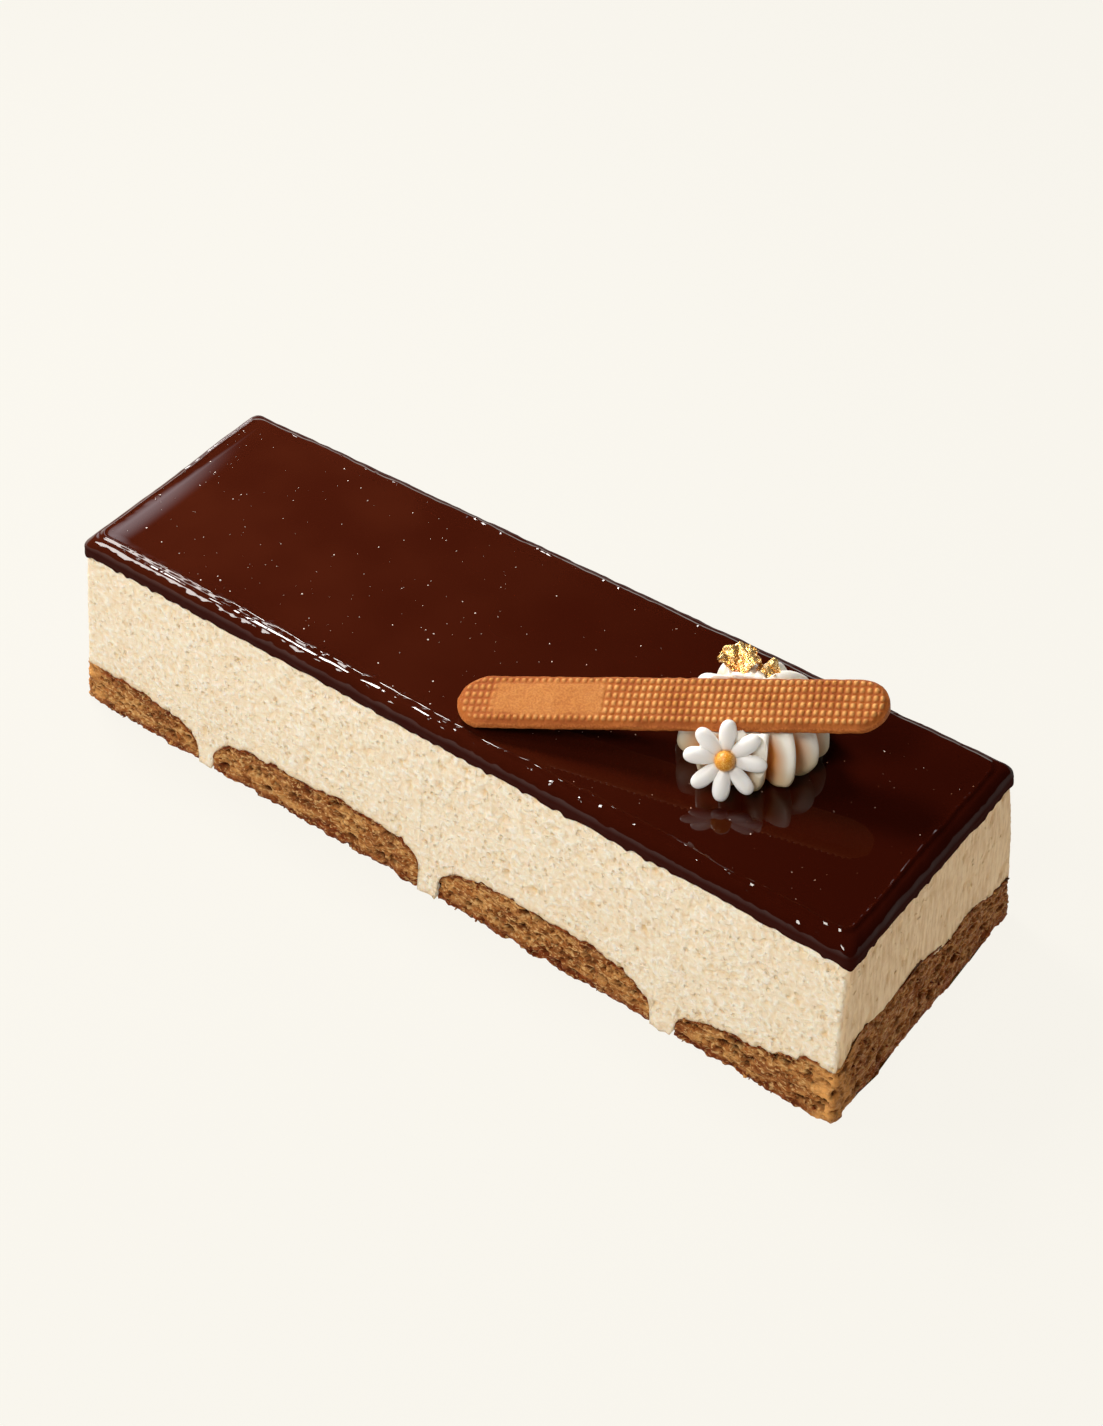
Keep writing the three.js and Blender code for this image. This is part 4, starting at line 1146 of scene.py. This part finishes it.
# A sheet crumpled by its folds and by finer creases, with a torn outline and a thin wall, so that both
# faces run side by side. Its flat facets catch the light one by one.
def makeLeaf(leaf, material, cells=46, thickness=0.05):
    count = cells + 1
    side = np.linspace(-1, 1, count)
    u, v = [part.ravel() for part in np.meshgrid(side, side, indexing="ij")]
    around = np.arctan2(v, u)
    ringPlace = np.stack([np.cos(around) * 2 + 9, np.sin(around) * 2, np.hypot(u, v) * 0.6], axis=1)
    torn = 0.78 + 0.3 * softNoise(ringPlace, 1, leaf["seed"])
    torn = torn + 0.16 * softNoise(ringPlace, 0.35, leaf["seed"] + 5)
    pull = torn * (1 - 0.22 * np.maximum(np.abs(u), np.abs(v)) * np.abs(u * v))
    x, y = u * leaf["width"] / 2 * pull, v * leaf["depth"] / 2 * pull
    flat = np.stack([x, y, 0 * x], axis=1)
    z = leafHeight(leaf, x, y)
    for size, deep in ((1.7, 0.75), (0.9, 0.45), (0.45, 0.16)):
        crease = np.abs(2 * softNoise(flat, size, leaf["seed"] * 7 + int(100 * size)) - 1)
        z = z + deep * leaf["folds"] * (crease - 0.3)
    slide = 0.35 * (softNoise(flat, 0.7, leaf["seed"] + 61) - 0.5)
    sheet = np.stack([x + slide, y - slide, z], axis=1)
    places = np.concatenate([sheet + [0, 0, thickness / 2], sheet - [0, 0, thickness / 2]])
    upper = gridFaces(count, count, wrap=False)[:, ::-1]
    under = upper[:, ::-1] + len(sheet)
    edge = np.concatenate([np.arange(count - 1) * count, (count - 1) * count + np.arange(count - 1),
                           np.arange(count - 1, 0, -1) * count + count - 1, np.arange(count - 1, 0, -1)])
    after = np.roll(edge, -1)
    wall = np.stack([edge + len(sheet), after + len(sheet), after, edge], axis=1)
    places = placed(places, turned(("Z", leaf["turn"])), leaf["centre"])
    # fold marks the low parts of the sheet, which the paint darkens as painted shade
    marks = {"fold": np.tile(ease(z, z.mean() + 0.2, z.mean() - 0.7), 2)}
    faces = [upper, under, wall]
    return makePiece(leaf["name"], places, faces, material, leaf["node"], marks, flat=True)


# Pale and deep gold by a fine grain, with painted shade darkening it down in the folds.
def goldPaint():
    paint = Paint("goldLeaf", Metallic=0.78, Roughness=0.3)
    grain = paint.noise(0.16, 3)
    body = paint.mix(grain.eased(0.42, 0.6), tint(236, 170, 68), tint(255, 238, 184))
    # painted shade down in the folds
    paint.feed("Base Color", paint.mix(paint.mark("fold") * 0.6, body, tint(196, 118, 32)))
    paint.feed("Roughness", 0.14 + grain * 0.25)
    paint.bump(grain * 0.08)
    return paint.material


# Piped rosette: a body of revolution with ridges. Places on it run from 0 at the base to 1 at the top.
rosette = {
    "centre": (32.75, 2.1),
    "radius": 9.1,
    "height": 9.3,
    "belly": 2.6,
    "bellyPlace": 0.24,
    "footTuck": 0.13,
    "fullness": 0.77,
    "lobes": 14,
    "ridgeDepth": 0.40,
    "ridgeFade": 0.5,
    "crestFullness": 0.9,
    "twist": 0.06,
    "topTwist": 0.5,
    "firstCrest": -0.96,
    "rows": 150,
    "columns": 14 * 36,
}


# Radius of the crests and height at a place from 0 at the base to 1 at the top: out to a belly, then a
# quarter of a superellipse that closes in a flattened dome.
def rosetteProfile(place):
    below = np.clip(1 - place / rosette["bellyPlace"], 0, 1)
    swing = np.clip((place - rosette["bellyPlace"]) / (1 - rosette["bellyPlace"]), 0, 1) * math.pi / 2
    radius = np.where(below > 0, 1 - rosette["footTuck"] * below ** 2, np.cos(swing) ** rosette["fullness"])
    rise = (rosette["height"] - rosette["belly"]) * np.sin(swing) ** rosette["fullness"]
    return rosette["radius"] * radius, rosette["belly"] * (1 - below) + rise


# Places pressed down to at most a ceiling, in the frame of the piece that presses. The ceiling is a
# function of the places in that frame.
def pressed(places, turn, origin, ceiling):
    local = localOf(places, turn, origin)
    local[:, 2] = np.minimum(local[:, 2], ceiling(local))
    return placed(local, turn, origin)


# The stick's underside, rising quickly beside it.
def underStick(local):
    half = stick["width"] / 2
    spine = np.clip(local[:, 0], half, stick["length"] - half)
    beside = np.hypot(local[:, 0] - spine, local[:, 1]) - half
    return -0.08 + 2.2 * ease(beside, 0.0, 1.1) + 40 * np.clip(beside - 0.6, 0, 1)


# The back of the daisy, a shallow bowl that rises quickly past the petals.
def behindDaisy(local):
    away = np.hypot(local[:, 0], local[:, 1])
    return -0.5 + 0.12 * np.clip(away, 0, 5.2) + 1.7 * np.clip(away - 4.8, 0, 9)


# Rings round the rosette's axis whose radius falls into a narrow valley between each two broad ridges:
# the ridge is a cosine to a power below one. Each ridge has its own strength and sways a little. The
# stick, the flower and the leaf press it back.
def makeRosette(material):
    rows, columns = rosette["rows"], rosette["columns"]
    place = (np.arange(rows)[:, None] / rows) ** 0.95
    turn = (np.arange(columns) / columns * 2 * math.pi)[None, :]
    radius, z = rosetteProfile(place)
    lobe = np.round(turn / (2 * math.pi) * rosette["lobes"]) % rosette["lobes"]
    own = np.sin(lobe * 12.9898) * 43758.5453  # its fraction is each ridge's own value, from 0 to 1
    own = own - np.floor(own)
    wave = np.cos(turn * rosette["lobes"] / 2) ** 2
    sway = 0.05 * np.sin(3.1 * place + 6.3 * own) * wave
    crest = (wave + 0.004) ** (rosette["crestFullness"] * (0.4 + 0.5 * ease(place, 0.08, 0.4)))
    fade = 1 - rosette["ridgeFade"] * place
    reach = radius * (1 - rosette["ridgeDepth"] * fade * (1 - crest))
    reach = reach * (1 + 0.05 * (own - 0.5) * crest * (1 - place))
    angle = turn + rosette["firstCrest"] + rosette["twist"] * place + rosette["topTwist"] * place ** 5 + sway
    lift = 0.5 * own * wave * ease(place, 0.12, 0.0)
    x = rosette["centre"][0] + reach * np.cos(angle)
    y = rosette["centre"][1] + reach * np.sin(angle)
    places = np.stack([x, y, glaze["top"] - 0.02 + z + lift + 0 * angle], axis=-1).reshape(-1, 3)
    outward = places - np.array([*rosette["centre"], glaze["top"] + 1.5])
    outward /= np.linalg.norm(outward, axis=1)[:, None]
    ripple = 0.2 * (softNoise(places, 2.4, 301) - 0.5)
    ripple = ripple + 0.05 * (layeredNoise(places, (0.7, 0.7, 1.4), 2, 307) - 0.5)
    places = places + outward * ripple[:, None]
    places = pressed(places, stickTurn, stick["leftEnd"], underStick)
    places = pressed(places, daisyTurn, daisy["centre"], behindDaisy)
    for leaf in leaves:
        def underLeaf(local):
            off = np.maximum(np.abs(local[:, 0]) / leaf["width"], np.abs(local[:, 1]) / leaf["depth"]) * 2
            return leafHeight(leaf, local[:, 0], local[:, 1]) - 0.25 + 3 * np.clip(off - 0.85, 0, 9)

        places = pressed(places, turned(("Z", leaf["turn"])), leaf["centre"], underLeaf)
    skin, faces = ringSkin(places.reshape(rows, columns, 3))
    # valley and low carry the painted shade of the valleys and of the foot
    valley = ((1 - crest) * (1 - 0.75 * ease(place, 0.3, 0.6))).ravel()
    low = ease(skin[:, 2], glaze["top"] + 6, glaze["top"])
    marks = {"valley": np.append(valley, [0, 0]), "low": low}
    return makePiece("pipedRosette", skin, faces, material, "cream_rosette", marks)


# Pale cream, with a warm painted shade low down and a darker tan painted shade in the valleys.
def rosettePaint():
    paint = Paint("pipedCream", Roughness=0.4, Subsurface_Weight=0.25, Subsurface_Scale=0.0015,
                  Subsurface_Radius=(1.0, 0.85, 0.65))
    valley, low = paint.mark("valley"), paint.mark("low")
    body = paint.mix(paint.noise(3, 2), tint(252, 246, 233), tint(255, 251, 242))
    # painted warm shade low down
    body = paint.mix(low, body, tint(255, 226, 178))
    # painted tan shade in the valleys
    paint.feed("Base Color", paint.mix((valley * 1.6 - 0.15).clamped(), body, tint(232, 164, 90)))
    paint.bump(paint.noise(0.5, 3) * 0.05 + paint.noise(0.14, 2) * 0.02)
    return paint.material


# The floor mostly glows by itself, so that it is one even tone, and takes only a trace of light. Sheen and
# skyline reaches are where the world's two pale patches start and end.
stage = {
    "floorHalf": 12000.0,
    "floorDrop": 0.02,
    "floorColour": tint(249, 246, 238),
    "floorGlow": 0.96,
    "floorShare": 0.03,
    "dim": (0.008, 0.007, 0.0065, 1.0),
    "skyline": (0.90, 0.87, 0.81, 1.0),
    "skylineReach": (0.07, 0.15),
    "sheen": (2.6, 2.6, 2.8, 1.0),
    "sheenToward": (-0.75, 0.49, 0.43),
    "sheenReach": (math.cos(math.radians(14.5)), math.cos(math.radians(5))),
}


# A square just under the bar, so that the two don't touch.
def makeFloor():
    half, z = stage["floorHalf"], -stage["floorDrop"]
    places = np.array([[-half, -half, z], [half, -half, z], [half, half, z], [-half, half, z]])
    mesh = bpy.data.meshes.new("floor")
    mesh.from_pydata((places * mm).tolist(), [], [(0, 1, 2, 3)])
    floor = bpy.data.objects.new("floor", mesh)
    bpy.context.scene.collection.objects.link(floor)
    colour = stage["floorColour"]
    lit = tuple(part * stage["floorShare"] for part in colour[:3])
    paint = Paint("paleFloor", Roughness=0.9, Specular_IOR_Level=0.0, Base_Color=(*lit, 1.0),
                  Emission_Color=colour, Emission_Strength=stage["floorGlow"])
    mesh.materials.append(paint.material)


# Lamps, with their places and sides in metres: a key lamp from the left, a small one in front that the rim
# mirrors, a faint one for the sheen of the left end, and one overhead.
lamps = [
    {"name": "keyLamp", "place": (-0.337, -0.210, 0.303), "side": (0.13, 0.13), "power": 1.0,
     "colour": (1.0, 0.97, 0.93)},
    {"name": "frontLamp", "place": (0.03, -0.22, 0.32), "side": (0.09, 0.09), "power": 0.6,
     "colour": (1.0, 0.95, 0.88)},
    {"name": "leftLamp", "place": (-0.489, 0.312, 0.15), "side": (0.05, 0.03), "power": 0.08,
     "colour": (1.0, 0.98, 0.97)},
    {"name": "backLamp", "place": (-0.16, 0.05, 0.26), "side": (0.08, 0.08), "power": 0.9,
     "colour": (1.0, 0.98, 0.95)},
]


# A rectangular lamp that shines at the middle of the bar, with its sides level.
def addLamp(name, place, side, power, colour):
    lamp = bpy.data.lights.new(name, "AREA")
    lamp.shape = "RECTANGLE"
    lamp.size, lamp.size_y = side
    lamp.energy = power
    lamp.color = colour
    made = bpy.data.objects.new(name, lamp)
    bpy.context.scene.collection.objects.link(made)
    back = np.array(place) / np.linalg.norm(place)
    made.location = place
    sideways = np.cross((0, 0, 1), back)
    sideways /= np.linalg.norm(sideways)
    made.rotation_euler = Matrix(np.stack([sideways, np.cross(back, sideways), back], axis=1)).to_euler()


# The world is nearly dark. It is pale in a low ring, where it meets the floor, and in one soft patch that
# the left end of the glaze mirrors: colour mixes eased by the height of the direction and by how close it
# is to the middle of the patch.
def makeWorld():
    world = bpy.data.worlds.new("studio")
    world.use_nodes = True
    sky = Nodes(world.node_tree)
    look = sky.node("ShaderNodeTexCoord", {}, {}, "Generated")
    toward = np.array(stage["sheenToward"]) / np.linalg.norm(stage["sheenToward"])
    closeness = sky.node("ShaderNodeVectorMath", {"operation": "DOT_PRODUCT"}, {0: look, 1: toward}, "Value")
    rise = sky.node("ShaderNodeSeparateXYZ", {}, {0: look}, "Z")
    upper = sky.mix(closeness.eased(*stage["sheenReach"]), stage["dim"], stage["sheen"])
    colour = sky.mix(rise.eased(*stage["skylineReach"]), stage["skyline"], upper)
    sky.tree.links.new(colour.socket, sky.tree.nodes["Background"].inputs["Color"])
    bpy.context.scene.world = world


# The camera stands at an azimuth and elevation seen from its target, in millimetres. Its focal length is
# in pixels of a picture 1103 wide and 1426 high.
camera = {
    "azimuth": math.radians(36.796),
    "elevation": math.radians(43.443),
    "roll": math.radians(-0.085),
    "target": (-7.435, 15.773, 0.0),
    "distance": 348.755,
    "focalPixels": 2548.83,
    "pictureHeight": 1426,
    "sensor": 36.0,
}


# The camera's axes: back from the target, and level right and up rolled about it.
def makeCamera():
    azimuth, elevation, roll = camera["azimuth"], camera["elevation"], camera["roll"]
    level = np.array([math.sin(azimuth), -math.cos(azimuth), 0.0]) * math.cos(elevation)
    back = level + [0.0, 0.0, math.sin(elevation)]
    right = np.array([math.cos(azimuth), math.sin(azimuth), 0.0])
    up = np.cross(back, right)
    tiltedRight = math.cos(roll) * right + math.sin(roll) * up
    tiltedUp = np.cross(back, tiltedRight)
    lens = bpy.data.cameras.new("camera")
    lens.sensor_width = camera["sensor"]
    lens.lens = camera["focalPixels"] * camera["sensor"] / camera["pictureHeight"]
    lens.clip_start, lens.clip_end = 0.01, 10
    made = bpy.data.objects.new("camera", lens)
    bpy.context.scene.collection.objects.link(made)
    made.location = (np.array(camera["target"]) + camera["distance"] * back) * mm
    made.rotation_euler = Matrix(np.stack([tiltedRight, tiltedUp, back], axis=1)).to_euler()
    bpy.context.scene.camera = made


bpy.context.scene.view_settings.view_transform = "Standard"
makeCamera()
makeFloor()
for lampSettings in lamps:
    addLamp(**lampSettings)
makeWorld()
print("stage set")

creamMaterial = creamPaint()
makeCream(creamMaterial)
makeCurls(creamMaterial)
spongeMaterial = spongePaint()
for fingerIndex, fingerShape in enumerate(fingers):
    makeFinger(fingerIndex, fingerShape, spongeMaterial)
makeCrumbs(spongeMaterial)
makeGlaze(glazePaint())
makeSpecks(speckPaint())
makeRosette(rosettePaint())
makeStick(stickPaint())
makePetals(petalPaint())
makeBall(ballPaint())
goldMaterial = goldPaint()
for leafShape in leaves:
    makeLeaf(leafShape, goldMaterial)
print("pieces made")
